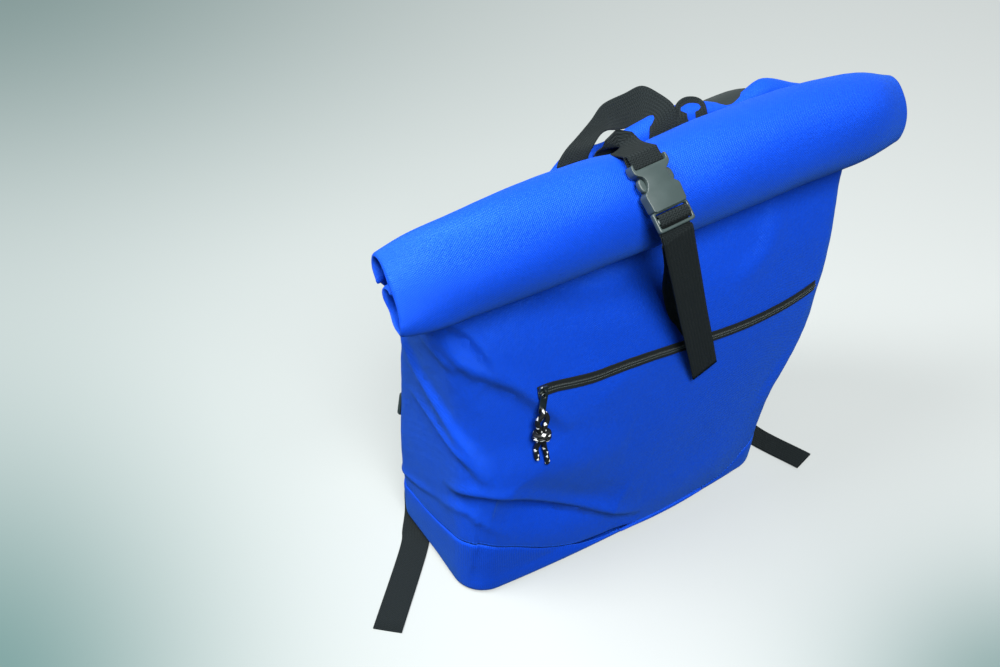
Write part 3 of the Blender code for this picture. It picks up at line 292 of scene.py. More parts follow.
def scattered(
    name: str, shape: Array, faces: Array, centres: Array, frames: Array, finish: Material
) -> Object:
    """One small shape repeated: each copy is the shape's points turned by its frame and set on its centre.

    Args:
        name: the piece's name.
        shape: the small shape's points.
        faces: its faces.
        centres: one point for each copy.
        frames: (copies, 3, 3), rows are the copy's own X, Y and Z.
        finish: the material.

    Returns:
        The new object.
    """
    points = centres[:, None] + np.einsum("pk,nkx->npx", shape, frames)
    every = (np.arange(len(centres))[:, None, None] * len(shape) + faces).reshape(-1, faces.shape[1])
    uv = np.tile((0.0, 0.0), (every.size, 1))
    return mesh_object(name, points, every.tolist(), uv, finish)


def pill(sides: int, along: float, across: float, high: float) -> tuple[Array, Array]:
    """A small rounded bar: rings of an ellipse that shrink as a half circle towards both ends.

    Args:
        sides: points round it.
        along, across, high: its length, width and height.

    Returns:
        Its points and its faces.
    """
    turn = np.arange(sides) * math.tau / sides
    way = np.array([-1.0, -0.82, 0.0, 0.82, 1.0])
    size = np.array([0.25, 0.75, 1.0, 0.75, 0.25])
    x = np.broadcast_to(way[:, None] * along / 2, (5, sides))
    y = size[:, None] * np.cos(turn) * across / 2
    z = size[:, None] * np.sin(turn) * high / 2
    quads = grid_faces(5, sides, True, False)
    fan = np.arange(1, sides - 1, 2)
    near = np.stack([np.zeros_like(fan), (fan + 2) % sides, fan + 1, fan], axis=-1)
    far = near[:, ::-1] + 4 * sides
    return np.stack([x, y, z], axis=-1).reshape(-1, 3), np.concatenate([quads, near, far])[:, ::-1]


# Finishes.


class Graph:
    """A material's nodes, added and joined by short calls."""

    def __init__(self, name: str) -> None:
        """Starts a material with a bare shader."""
        self.material = bpy.data.materials.new(name)
        self.material.use_nodes = True
        self.tree = self.material.node_tree
        self.tree.nodes.clear()
        self.shader = self.add("ShaderNodeBsdfPrincipled")
        output = self.add("ShaderNodeOutputMaterial")
        self.tree.links.new(self.shader.outputs["BSDF"], output.inputs["Surface"])

    def add(self, kind: str, **settings: object) -> bpy.types.Node:
        """A node with these settings."""
        node = self.tree.nodes.new(kind)
        for key, value in settings.items():
            setattr(node, key, value)
        return node

    def put(self, socket: Socket, value: object) -> None:
        """Joins another node's output to the socket, or sets a plain value."""
        if isinstance(value, Socket):
            self.tree.links.new(value, socket)
        else:
            socket.default_value = value

    def math(self, operation: str, a: object, b: object = 0.0, c: object = 0.0) -> Socket:
        """The output of one sum."""
        node = self.add("ShaderNodeMath", operation=operation)
        for socket, value in zip(node.inputs, (a, b, c)):
            self.put(socket, value)
        return node.outputs[0]

    def mix(self, share: object, a: object, b: object) -> Socket:
        """Colour a turned into colour b by the share, through the node's own sockets for colours."""
        node = self.add("ShaderNodeMix", data_type="RGBA")
        self.put(node.inputs[0], share)
        self.put(node.inputs[6], a)
        self.put(node.inputs[7], b)
        return node.outputs[2]

    def noise(self, scale: float, detail: float = 2.0, stretch: Sequence[float] = (1, 1, 1)) -> Socket:
        """Soft noise in the object's own space, stretched along its axes."""
        place = self.add("ShaderNodeMapping")
        self.put(place.inputs["Vector"], self.add("ShaderNodeTexCoord").outputs["Object"])
        self.put(place.inputs["Scale"], stretch)
        node = self.add("ShaderNodeTexNoise")
        self.put(node.inputs["Vector"], place.outputs[0])
        self.put(node.inputs["Scale"], scale)
        self.put(node.inputs["Detail"], detail)
        return node.outputs["Fac"]

    def cloth_place(self) -> tuple[Socket, Socket]:
        """Places across and along the cloth, in metres, from the piece's UV map."""
        split = self.add("ShaderNodeSeparateXYZ")
        self.put(split.inputs[0], self.add("ShaderNodeUVMap", uv_map="cloth").outputs[0])
        return split.outputs[0], split.outputs[1]

    def wave(self, place: object, pitch: float) -> Socket:
        """A sine of this pitch, from -1 to 1."""
        return self.math("SINE", self.math("MULTIPLY", place, math.tau / pitch))

    def bump(self, height: object, distance: float, strength: float = 1.0) -> None:
        """Raises the shader's surface by the height times the distance."""
        node = self.add("ShaderNodeBump")
        self.put(node.inputs["Height"], height)
        self.put(node.inputs["Distance"], distance)
        self.put(node.inputs["Strength"], strength)
        self.put(self.shader.inputs["Normal"], node.outputs[0])

    def set(self, **values: object) -> None:
        """Sets the shader's own sockets, an underscore standing for a space."""
        for key, value in values.items():
            self.put(self.shader.inputs[key.replace("_", " ")], value)


def rgba(colour: Sequence[float], share: float = 1.0, paler: float = 0.0) -> tuple[float, ...]:
    """The colour at a share of its brightness, a little paler, opaque."""
    return (*(part * share + paler for part in colour), 1.0)


@dataclass(frozen=True)
class WovenCloth:
    """Plain-woven cloth: two sets of threads that pass over and under each other."""

    name: str
    colour: tuple[float, float, float]
    pitch: float = 0.0011
    roughness: float = 0.50
    sheen: float = 0.10
    tint: tuple[float, float, float] = (0.20, 0.62, 1.0)
    gloss: float = 0.65
    grain: float = 0.34
    relief: float = 0.00017

    # How much the yarns' noise and the weave raise the cloth, and its darkest and palest shares of colour.
    YARNS, WEAVE = 1.6, 0.8
    DARK, PALE, PALER = 0.72, 1.22, 0.001
    # Scale and detail of the yarns' noises and of the faded patches, and the patches' share of colour.
    YARN_NOISES, PATCHES, PATCHED = ((430.0, 2.0), (1100.0, 1.0)), (9.0, 3.0), 0.5
    # How much rougher raised yarns are, and how rough the sheen is.
    ROUGHER, SHEEN_ROUGHNESS = 0.10, 0.5

    def make(self) -> Material:
        """The weave is the product of a sine across and a sine along the cloth, broken by two noises.

        Fine noise stands for uneven yarns, slow noise for faded and darker patches.

        Returns:
            The material.
        """
        graph = Graph(self.name)
        across, along = graph.cloth_place()
        weave = graph.math("MULTIPLY", graph.wave(across, self.pitch), graph.wave(along, self.pitch))
        yarns = graph.math("ADD", *(graph.noise(*noise) for noise in self.YARN_NOISES))
        height = graph.math("MULTIPLY_ADD", yarns, self.YARNS, graph.math("MULTIPLY", weave, self.WEAVE))
        share = graph.math("MULTIPLY_ADD", height, self.grain, 0.5 - self.YARNS * self.grain)
        cloud = graph.math("MULTIPLY_ADD", graph.noise(*self.PATCHES), self.PATCHED, share)
        low, high = rgba(self.colour, self.DARK), rgba(self.colour, self.PALE, self.PALER)
        graph.set(Base_Color=graph.mix(graph.math("SUBTRACT", cloud, self.PATCHED / 2), low, high))
        rough = graph.math("MULTIPLY_ADD", share, self.ROUGHER, self.roughness - self.ROUGHER / 2)
        graph.set(Roughness=rough, Sheen_Weight=self.sheen, Sheen_Tint=rgba(self.tint))
        graph.set(Sheen_Roughness=self.SHEEN_ROUGHNESS)
        graph.set(Specular_IOR_Level=self.gloss, Specular_Tint=rgba(self.tint))
        graph.bump(height, self.relief)
        return graph.material


@dataclass(frozen=True)
class RibbedWebbing:
    """Narrow woven webbing: columns of short slanted ribs, each column half a step off the last."""

    name: str
    colour: tuple[float, float, float]
    rib: float = 0.0017
    column: float = 0.0026
    roughness: float = 0.72
    relief: float = 0.00022
    tint: tuple[float, float, float] = (0.7, 0.8, 0.8)

    # How far the ribs slant, how much columns and fibres raise them, and the darkest and palest colour.
    SLANT, COLUMNS, FIBRES = 0.9, 0.35, 0.9
    DARK, PALE, PALER = 0.55, 1.9, 0.004
    # Scale and detail of the fibres' noise, and how far the relief moves the colour round its middle.
    FIBRE_NOISE, SPREAD, MIDDLE = (1400.0, 2.0), 0.22, 0.30
    GLOSS, SHEEN, SHEEN_ROUGHNESS = 0.12, 0.03, 0.5

    def make(self) -> Material:
        """Ribs are a sine along the band, shifted by a triangle wave across it, with loose fibres over them.

        Returns:
            The material.
        """
        graph = Graph(self.name)
        across, along = graph.cloth_place()
        shift = graph.math("PINGPONG", across, self.column / 2)
        ribs = graph.wave(graph.math("MULTIPLY_ADD", shift, self.SLANT, along), self.rib)
        fibres = graph.math("MULTIPLY_ADD", graph.noise(*self.FIBRE_NOISE), self.FIBRES, ribs)
        height = graph.math("MULTIPLY_ADD", graph.wave(across, self.column), self.COLUMNS, fibres)
        share = graph.math("MULTIPLY_ADD", height, self.SPREAD, self.MIDDLE)
        dark, pale = rgba(self.colour, self.DARK), rgba(self.colour, self.PALE, self.PALER)
        graph.set(Base_Color=graph.mix(share, dark, pale))
        graph.set(Roughness=self.roughness, Specular_IOR_Level=self.GLOSS, Sheen_Tint=rgba(self.tint))
        graph.set(Sheen_Weight=self.SHEEN, Sheen_Roughness=self.SHEEN_ROUGHNESS)
        graph.bump(height, self.relief)
        return graph.material


@dataclass(frozen=True)
class MouldedPlastic:
    """Satin plastic with a fine spark-eroded grain, a little duller where hands rub it."""

    name: str
    colour: tuple[float, float, float]
    roughness: float = 0.38

    # Scale and detail of the rubbed patches and of the grain, the darkest and palest shares of colour,
    # how much duller the patches are, the gloss and the grain's height.
    RUBBED, GRAIN = (90.0, 4.0), (2600.0, 1.0)
    DARK, PALE = 0.82, 1.2
    DULLER, GLOSS, RELIEF = 0.16, 0.5, 0.00003

    def make(self) -> Material:
        """The grain is fine noise in the bump, and slow noise moves colour and roughness a little.

        Returns:
            The material.
        """
        graph = Graph(self.name)
        rubbed = graph.noise(*self.RUBBED)
        dark, pale = rgba(self.colour, self.DARK), rgba(self.colour, self.PALE)
        graph.set(Base_Color=graph.mix(rubbed, dark, pale), Specular_IOR_Level=self.GLOSS)
        graph.set(Roughness=graph.math("MULTIPLY_ADD", rubbed, self.DULLER, self.roughness - self.DULLER / 2))
        graph.bump(graph.noise(*self.GRAIN), self.RELIEF)
        return graph.material


@dataclass(frozen=True)
class PlatedMetal:
    """Dark plated metal, brushed and slightly worn."""

    name: str
    colour: tuple[float, float, float]
    roughness: float = 0.32

    # Scale, detail and stretch of the brushing, scale and detail of the wear, the darkest and palest
    # shares of colour, and how much the brushing moves roughness and height.
    BRUSHING, WEAR = (900.0, 2.0, (1, 1, 0.08)), (260.0, 3.0)
    DARK, PALE = 0.7, 1.5
    ROUGHER, RELIEF = 0.2, 0.00002

    def make(self) -> Material:
        """Noise stretched along the piece's height makes the brushing, slow noise the wear.

        Returns:
            The material.
        """
        graph = Graph(self.name)
        brushed, worn = graph.noise(*self.BRUSHING), graph.noise(*self.WEAR)
        dark, pale = rgba(self.colour, self.DARK), rgba(self.colour, self.PALE)
        graph.set(Base_Color=graph.mix(worn, dark, pale), Metallic=1.0)
        rough = graph.math("MULTIPLY_ADD", brushed, self.ROUGHER, self.roughness - self.ROUGHER / 2)
        graph.set(Roughness=rough)
        graph.bump(brushed, self.RELIEF)
        return graph.material


@dataclass(frozen=True)
class FleckedCord:
    """Braided cord in black with a few white yarns."""

    name: str
    colour: tuple[float, float, float]
    fleck: tuple[float, float, float] = (0.82, 0.84, 0.82)
    diameter: float = 0.0042
    plait: float = 0.0038
    roughness: float = 0.55
    gloss: float = 0.35
    relief: float = 0.0003

    # Crossings round the cord, the two numbers that spread the white yarns, how many crossings there are
    # for each white one, and how much of each crossing's edge is hidden under the next.
    ROUND, SPREAD, WHITE_IN, HIDDEN = 3, (3.0, 5.0), 7.0, 0.06

    def make(self) -> Material:
        """Two sets of slanted lines wind round the cord, and one crossing in seven shows a white yarn.

        Returns:
            The material.
        """
        graph = Graph(self.name)
        across, along = graph.cloth_place()
        turn = graph.math("MULTIPLY", across, self.ROUND / (math.pi * self.diameter))
        step = graph.math("DIVIDE", along, self.plait)
        right, left = graph.math("ADD", turn, step), graph.math("SUBTRACT", step, turn)
        cell_r, cell_l = graph.math("FLOOR", right), graph.math("FLOOR", left)
        over = graph.math("MINIMUM", graph.math("PINGPONG", right, 0.5), graph.math("PINGPONG", left, 0.5))
        number = graph.math("MULTIPLY", cell_l, self.SPREAD[1])
        number = graph.math("MULTIPLY_ADD", cell_r, self.SPREAD[0], number)
        yarn = graph.math("MODULO", number, self.WHITE_IN)
        white = graph.math("LESS_THAN", graph.math("ABSOLUTE", yarn), 0.5)
        white = graph.math("MULTIPLY", white, graph.math("GREATER_THAN", over, self.HIDDEN))
        graph.set(Base_Color=graph.mix(white, rgba(self.colour), rgba(self.fleck)))
        graph.set(Roughness=self.roughness, Specular_IOR_Level=self.gloss)
        graph.bump(graph.math("POWER", over, 0.6), self.relief)
        return graph.material


GREY_TINT = (0.80, 0.88, 0.88)
CLOTH = WovenCloth("bag_cloth", (0.0008, 0.044, 0.53), pitch=0.0017)
WEBBING = RibbedWebbing("strap_webbing", (0.0048, 0.0078, 0.0085))
BINDING = RibbedWebbing("strap_binding", (0.008, 0.010, 0.010), rib=0.0009, column=0.0014, relief=0.0001)
PADDING = WovenCloth("pad_cloth", (0.012, 0.016, 0.016), 0.0009, 0.66, 0.05, GREY_TINT, 0.3, 0.3, 0.00005)
TAPE = WovenCloth("zip_tape_cloth", (0.006, 0.008, 0.008), 0.0008, 0.7, 0.03, GREY_TINT, 0.25, 0.3, 0.00006)
TEETH = MouldedPlastic("zip_coil_plastic", (0.018, 0.021, 0.021), 0.42)
PLASTIC = MouldedPlastic("buckle_plastic", (0.030, 0.045, 0.044), 0.40)
METAL = PlatedMetal("zip_metal", (0.15, 0.165, 0.165))
CORD = FleckedCord("zip_cord_braid", (0.006, 0.007, 0.007))
THREAD = WovenCloth("blue_thread", (0.004, 0.075, 0.62), 0.0005, 0.55, 0.1)
ZIP_THREAD = WovenCloth("zip_thread", (0.12, 0.15, 0.14), 0.0005, 0.55, 0.05, GREY_TINT)


# The bag's own form.


@dataclass(frozen=True)
class Dent:
    """A broad hollow (negative rise) or swelling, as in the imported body.

    Both ends' places are shares of the half girth from the front's middle and heights are shares of the
    height where the roll starts. Width and rise are in metres.
    """

    place0: float
    height0: float
    place1: float
    height1: float
    width: float
    rise: float


@dataclass(frozen=True)
class Crease:
    """A fold of the cloth along a line of (place, height) shares.

    The crest is a bell of this width, or a keen ridge where keen is 1, and the hollow lies beside it, on
    its right-hand side walking from the first point, this deep and reaching this far. Metres.
    """

    line: tuple[tuple[float, float], ...]
    width: float
    rise: float
    keen: float = 0.0
    hollow: float = 0.0
    reach: float = 0.012


DENTS = (
    Dent(-0.31, 0.32, -0.04, 0.17, 0.0221, -0.0077),
    Dent(-0.36, 0.46, -0.04, 0.38, 0.0221, 0.0042),
    Dent(-0.48, 0.92, -0.28, 0.40, 0.0260, -0.0056),
    Dent(-0.24, 0.90, -0.08, 0.60, 0.0260, -0.0042),
    Dent(0.02, 0.110, 0.30, 0.110, 0.0300, 0.0030),
)
CREASES = (
    # The long ridge over the base, with the dark hollow under it.
    Crease(
        (
            (-0.44, 0.35), (-0.40, 0.375), (-0.341, 0.393), (-0.264, 0.345),
            (-0.153, 0.235), (-0.044, 0.125), (0.03, 0.07),
        ),
        0.0075, 0.0040, 0.2, 0.0150, 0.0340,
    ),
    Crease(((-0.473, 0.251), (-0.386, 0.305), (-0.345, 0.281), (-0.27, 0.18)), 0.0060, 0.0022, 0.3),
    # The keen crest down the left corner, ending in the long ridge, with its hollow towards the front.
    Crease(
        ((-0.33, 0.41), (-0.375, 0.52), (-0.465, 0.61), (-0.53, 0.665), (-0.57, 0.73), (-0.63, 0.78)),
        0.0068, 0.0028, 0.3, 0.0038, 0.0220,
    ),
    # The softer ridge that meets it from the left.
    Crease(
        ((-0.56, 0.56), (-0.50, 0.545), (-0.451, 0.53), (-0.386, 0.50), (-0.34, 0.43)),
        0.0050, 0.0040, 0.6, 0.0036, 0.0160,
    ),
    # The side's crease, running into the seam.
    Crease(
        ((-0.70, 0.15), (-0.617, 0.182), (-0.54, 0.218), (-0.46, 0.262)),
        0.0040, 0.0018, 0.6, 0.0018, 0.0080,
    ),
    # Slack cloth under the roll's left end.
    Crease(
        ((-0.47, 0.955), (-0.438, 0.922), (-0.388, 0.878), (-0.351, 0.816), (-0.315, 0.74)),
        0.0045, 0.0040, 0.9, 0.0050, 0.0180,
    ),
    Crease(
        ((-0.43, 0.86), (-0.395, 0.80), (-0.30, 0.715), (-0.235, 0.625), (-0.17, 0.52)),
        0.0085, 0.0038, 0.3, 0.0090, 0.0260,
    ),
    Crease(((-0.50, 0.86), (-0.45, 0.80), (-0.40, 0.76)), 0.0060, 0.0020, 0.2, 0.0020, 0.0120),
    Crease(((-0.30, 0.95), (-0.20, 0.90), (-0.08, 0.88), (0.06, 0.90)), 0.0130, 0.0030, 0.0, 0.0030, 0.0260),
    # The right half of the front, drawn a little towards the strap's anchor.
    Crease(((0.30, 0.92), (0.24, 0.80), (0.16, 0.74)), 0.0120, 0.0022, 0.0, 0.0030, 0.0180),
    Crease(((0.42, 0.62), (0.36, 0.42), (0.30, 0.24)), 0.0100, 0.0022, 0.1, 0.0030, 0.0160),
    Crease(((0.58, 0.88), (0.50, 0.72), (0.46, 0.52)), 0.0100, 0.0030, 0.2, 0.0040, 0.0160),
    Crease(((0.64, 0.40), (0.54, 0.28), (0.44, 0.20)), 0.0090, 0.0026, 0.2, 0.0032, 0.0140),
    # The back, between and beside the shoulder straps.
    Crease(((-0.94, 0.86), (-0.86, 0.66), (-0.74, 0.50)), 0.0120, 0.0026, 0.1, 0.0044, 0.0200),
    Crease(((0.74, 0.82), (0.84, 0.66), (0.95, 0.56)), 0.0120, 0.0024, 0.1, 0.0040, 0.0200),
    Crease(((0.68, 0.34), (0.80, 0.26), (0.92, 0.28)), 0.0100, 0.0026, 0.2, 0.0036, 0.0160),
    Crease(((-0.90, 0.30), (-0.78, 0.22), (-0.66, 0.26)), 0.0100, 0.0026, 0.2, 0.0036, 0.0160),
)


@dataclass(frozen=True)
class BagForm:
    """The sewn tube of cloth: boxed at the base, flat at the top and rolled forward."""

    base_width: float = 0.310
    base_depth: float = 0.130
    base_edge: float = 0.007
    cloth: float = 0.0010
    layer_gap: float = 0.0008
    nip_height: float = 0.338
    nip_reach: float = 0.053
    seam_height: float = 0.046
    axis_height: float = 0.3645
    axis_reach: float = 0.084
    roll_depth: float = 0.062
    roll_height: float = 0.080
    end_tilt: float = math.radians(33)
    lift: float = 0.0025
    drawn_from: float = 0.80

    LEVELS = Table(
        "height left right depth shift corner belly",
        (0.00, 0.07, 0.10, 1.00, 0.00, 0.36, 0.06),
        (0.10, 0.09, 0.12, 1.03, 0.03, 0.40, 0.08),
        (0.30, 0.10, 0.22, 1.06, 0.12, 0.40, 0.08),
        (0.50, 0.13, 0.56, 0.97, 0.28, 0.40, 0.08),
        (0.66, 0.22, 0.72, 0.80, 0.46, 0.42, 0.09),
        (0.80, 0.36, 0.76, 0.56, 0.68, 0.50, 0.08),
        (0.90, 0.50, 0.80, 0.30, 0.86, 0.70, 0.05),
        (0.97, 0.64, 0.85, 0.10, 0.97, 0.90, 0.01),
        (1.00, 0.72, 0.90, 0.02, 1.00, 1.00, 0.00),
    )
    ROLL = Table(
        "along depth height rise reach tilt swell",
        (-1.00, 0.44, 0.70, -0.05, -0.04, 1.0, 0.00),
        (-0.92, 0.60, 0.82, -0.03, -0.02, 0.7, 0.00),
        (-0.75, 0.80, 0.92, 0.01, 0.00, 0.3, 0.05),
        (-0.40, 0.95, 0.98, 0.04, 0.00, 0.1, 0.15),
        (-0.27, 0.98, 0.99, 0.04, 0.00, 0.0, 0.85),
        (-0.13, 0.98, 0.95, 0.02, 0.00, 0.0, 0.90),
        (0.00, 0.99, 0.97, 0.05, 0.00, 0.0, 1.00),
        (0.14, 1.00, 1.00, 0.08, 0.00, 0.0, 1.05),
        (0.27, 1.00, 1.00, 0.09, 0.00, 0.0, 0.85),
        (0.36, 1.00, 1.00, 0.09, 0.00, 0.0, 0.55),
        (0.43, 0.99, 0.99, 0.09, 0.00, 0.0, 0.70),
        (0.52, 0.97, 0.98, 0.09, 0.00, 0.0, 1.00),
        (0.66, 0.94, 0.96, 0.08, 0.00, 0.0, 0.55),
        (0.84, 0.86, 0.89, 0.05, -0.01, 0.1, 0.15),
        (1.00, 0.58, 0.68, -0.01, -0.03, 0.4, 0.00),
    )
    SEAM = Table(
        "place height",
        (-1.00, 1.00),
        (-0.60, 1.00),
        (-0.46, 1.20),
        (-0.40, 1.38),
        (-0.34, 1.40),
        (-0.28, 1.10),
        (-0.20, 0.60),
        (-0.12, 0.28),
        (0.00, 0.14),
        (0.18, 0.14),
        (0.26, 0.26),
        (0.33, 0.72),
        (0.42, 0.95),
        (0.60, 1.00),
        (1.00, 1.00),
    )
    # The sheet's way round the roll: across, up, the hump's share of both, and how far its ends have eased.
    BACK_TURNS = (
        (1.00, -0.20, 0.12, 0.00, 0.4),
        (1.05, 0.12, 0.36, 0.10, 0.7),
        (1.00, 0.36, 0.42, 0.40, 0.9),
        (0.86, 0.38, 0.26, 0.34, 1.0),
        (0.76, 0.36, 0.10, -0.04, 1.0),
    )
    ARC_DEGREES = (48, 74, 100, 126, 153, 180, 207, 236)
    INNER_TURNS = (
        (-0.10, -0.98, 0.0, 0.0, 1.0),
        (0.34, -0.80, 0.0, 0.0, 1.0),
        (0.56, -0.44, 0.0, 0.0, 1.0),
        (0.54, -0.04, 0.0, 0.0, 1.0),
        (0.26, 0.16, 0.0, 0.0, 1.0),
        (-0.10, 0.14, 0.0, 0.0, 1.0),
        (-0.42, 0.02, 0.0, 0.0, 1.0),
    )

    @property
    def flat_half(self) -> float:
        """Half the width of the tube pressed flat."""
        return (self.base_width + self.base_depth) / 2

    @property
    def sheet_half(self) -> float:
        """Half the thickness of the two layers at the top."""
        return self.cloth + self.layer_gap / 2

    def half_width(self, place: Array, share: Array) -> Array:
        """Half the bag's width at these shares of the height, on the side of each place."""
        spread = np.where(place < 0, self.LEVELS.at("left", share), self.LEVELS.at("right", share))
        return self.base_width / 2 + spread * (self.flat_half - self.base_width / 2)

    def section(self, half_width: Array, half_depth: Array, corner: Array, place: Array) -> tuple[Array, ...]:
        """A rounded rectangle walked from its front's middle: flat, corner, side, corner and flat.

        Args:
            half_width, half_depth: its half sizes.
            corner: the corner's radius as a share of the half depth.
            place: signed shares of the half girth.

        Returns:
            X and Y of the points, and X and Y of the way out at each.
        """
        radius = corner * half_depth
        flat, arc, side = half_width - radius, math.pi * radius / 2, 2 * (half_depth - radius)
        way = np.abs(place) * (2 * flat + 2 * arc + side)
        front = np.clip(way, 0, flat)
        turn1 = np.clip(way - flat, 0, arc) / radius
        up = np.clip(way - flat - arc, 0, side)
        turn2 = np.clip(way - flat - arc - side, 0, arc) / radius
        back = np.clip(way - flat - 2 * arc - side, 0, flat)
        hand = np.sign(place)
        x = hand * (front + radius * np.sin(turn1) - radius * (1 - np.cos(turn2)) - back)
        y = -half_depth + radius * (1 - np.cos(turn1)) + up + radius * np.sin(turn2)
        return x, y, hand * np.sin(turn1 + turn2), -np.cos(turn1 + turn2)

    def wall(self, place: Array, height: Array) -> Array:
        """The plain wall: the section for its height, bellied forward at the front and shifted as it rises.

        Args:
            place: signed shares of the half girth.
            height: heights in metres.

        Returns:
            Points with the two arrays' common shape.
        """
        place, height = np.broadcast_arrays(place, height)
        share = height / self.nip_height
        wide = self.half_width(place, share)
        deep = np.maximum(self.LEVELS.at("depth", share) * self.base_depth / 2, self.sheet_half)
        corner = np.clip(self.LEVELS.at("corner", share), 0.3, 1)
        x, y, out_x, out_y = self.section(wide, deep, corner, place)
        front = np.clip((deep - y) / (2 * deep), 0, 1)
        y = y - self.LEVELS.at("belly", share) * self.base_depth * front * (1 - (x / wide) ** 2)
        rise = dent_rise(self, place, height)
        y = y + out_y * rise - self.LEVELS.at("shift", share) * self.nip_reach
        return np.stack([x + out_x * rise, y, height], axis=-1)

    def rolled(self, x: Array, across: Array, up: Array, swell: Array, out: Array) -> Array:
        """Places round the roll: an oval whose half sizes, axis and tilt change along it.

        Args:
            x: places along the roll.
            across, up: shares of its half depth and half height.
            swell: the hump's part of both.
            out: a plain way out, in metres.

        Returns:
            Points with the arrays' common shape.
        """
        along = x / self.flat_half
        deep = self.ROLL.at("depth", along) * self.roll_depth / 2 - self.sheet_half
        high = self.ROLL.at("height", along) * self.roll_height / 2 - self.sheet_half
        hump = self.ROLL.at("swell", along)
        tilt = self.ROLL.at("tilt", along) * self.end_tilt
        y = (across + hump * swell[0]) * deep + out[0]
        z = (up + hump * swell[1]) * high + out[1]
        centre_y = -self.axis_reach - self.ROLL.at("reach", along) * self.roll_height
        centre_z = self.axis_height + self.ROLL.at("rise", along) * self.roll_height
        y, z = centre_y + y * np.cos(tilt) + z * np.sin(tilt), centre_z - y * np.sin(tilt) + z * np.cos(tilt)
        return np.stack(np.broadcast_arrays(x, y, z), axis=-1)

    def roll_rings(self, place: Array) -> Array:
        """Rings of the pressed tube at each named turn round the roll.

        Args:
            place: signed shares of the half girth.

        Returns:
            (turns, places, 3).
        """
        arc = [(math.cos(a), math.sin(a), 0.0, 0.0, 1.0) for a in np.radians(self.ARC_DEGREES)]
        turns = np.array([*self.BACK_TURNS, *arc, *self.INNER_TURNS])
        centres = (turns[:, :2] + turns[:, 2:4]) * (self.roll_depth, self.roll_height)
        run = unit(np.gradient(centres, axis=0))
        x, offset, _, _ = self.section(self.flat_half, self.sheet_half, 1.0, place)
        full = self.half_width(place, np.ones_like(place)) / self.flat_half
        across, up, swell_a, swell_u, eased = (turns[:, [i]] for i in range(5))
        out = (run[:, [1]] * offset, -run[:, [0]] * offset)
        return self.rolled(x * (full + (1 - full) * eased), across, up, (swell_a, swell_u), out)

    def upper_wall(self, place: Array, height: Array) -> Array:
        """The wall near the roll, drawn towards the roll's own axis.

        Args:
            place: signed shares of the half girth.
            height: heights in metres.

        Returns:
            Points with the two arrays' common shape.
        """
        flat = self.wall(place, height)
        share = flat[..., 2] / self.nip_height
        blend = np.clip((share - self.drawn_from) / (1 - self.drawn_from), 0, 1) ** 2 / 2
        rest_y = (flat[..., 1] + self.axis_reach) / (self.roll_depth / 2 - self.sheet_half)
        rest_z = (flat[..., 2] - self.axis_height) / (self.roll_height / 2 - self.sheet_half)
        drawn = self.rolled(flat[..., 0], rest_y, rest_z, (0.0, 0.0), (0.0, 0.0))
        return flat + (drawn - flat) * blend[..., None]

    def seam(self, place: Array) -> Array:
        """Height of the base tray's seam."""
        return self.SEAM.at("height", place) * self.seam_height


def faded(share: Array) -> Array:
    """A fold's strength along its line: full in the middle and nothing at both ends."""
    return np.sin(math.pi * np.clip(share, 0, 1)) ** 0.7


def dent_rise(form: BagForm, place: Array, height: Array) -> Array:
    """Rise of the broad dents: a bell off each one's line, faded towards both ends of it.

    Args:
        form: the bag's form.
        place: signed shares of the half girth.
        height: heights in metres.

    Returns:
        Rises in metres.
    """
    girth = form.flat_half * 2
    across = place * girth
    total = np.zeros(np.broadcast(place, height).shape)
    for dent in DENTS:
        start = np.array([dent.place0 * girth, dent.height0 * form.nip_height])
        run = np.array([dent.place1 * girth, dent.height1 * form.nip_height]) - start
        share = ((across - start[0]) * run[0] + (height - start[1]) * run[1]) / (run @ run)
        off = ((height - start[1]) * run[0] - (across - start[0]) * run[1]) / math.hypot(*run)
        total = total + dent.rise * faded(share) * np.exp(-((off / dent.width) ** 2))
    return total


def crease_rise(form: BagForm, across: Array, height: Array) -> Array:
    """Rise of the creases: for each, the distance to its smoothed line gives the crest and the hollow.

    The crest is rise times exp(-(d/width)^2), or a slightly blunted exp(-d/width) where it is keen. The
    hollow falls away as 1 - exp(-(d/width)^2) on its side and comes back as exp(-d/reach). Both fade at
    the line's ends.

    Args:
        form: the bag's form.
        across: distance round the girth from the front's middle, in metres.
        height: distance up the cloth, in metres.

    Returns:
        Rises in metres.
    """
    blunt = 0.05
    total = np.zeros(np.broadcast(across, height).shape)
    scale = (form.flat_half * 2, form.nip_height)
    for crease in CREASES:
        line = smooth_path(np.array(crease.line) * scale, 3)
        way = lengths_along(line)
        near, side, share = np.full(total.shape, np.inf), np.zeros(total.shape), np.zeros(total.shape)
        for start, end, passed in zip(line, line[1:], way):
            run = end - start
            t = np.clip(((across - start[0]) * run[0] + (height - start[1]) * run[1]) / (run @ run), 0, 1)
            off_a, off_h = across - start[0] - t * run[0], height - start[1] - t * run[1]
            far = np.hypot(off_a, off_h)
            closer = far < near
            near = np.where(closer, far, near)
            side = np.where(closer, np.sign(run[0] * off_h - run[1] * off_a), side)
            share = np.where(closer, (passed + t * math.hypot(*run)) / way[-1], share)
        off = near / crease.width
        bell = np.exp(-(off**2))
        crest = (1 - crease.keen) * bell + crease.keen * np.exp(-np.sqrt(off**2 + blunt))
        hollow = np.where(side < 0, (1 - bell) * np.exp(-near / crease.reach), 0.0)
        total = total + faded(share) * (crease.rise * crest - crease.hollow * hollow)
    return total


@dataclass(frozen=True)
class Wave:
    """Uneven soft waves on the cloth: their height and length in metres, and the seed of their pattern."""

    rise: float
    pitch: float
    seed: int

    def at(self, a: Array, b: Array) -> Array:
        """Rises at these places on the cloth."""
        return self.rise * ripple(a, b, self.pitch, self.seed)


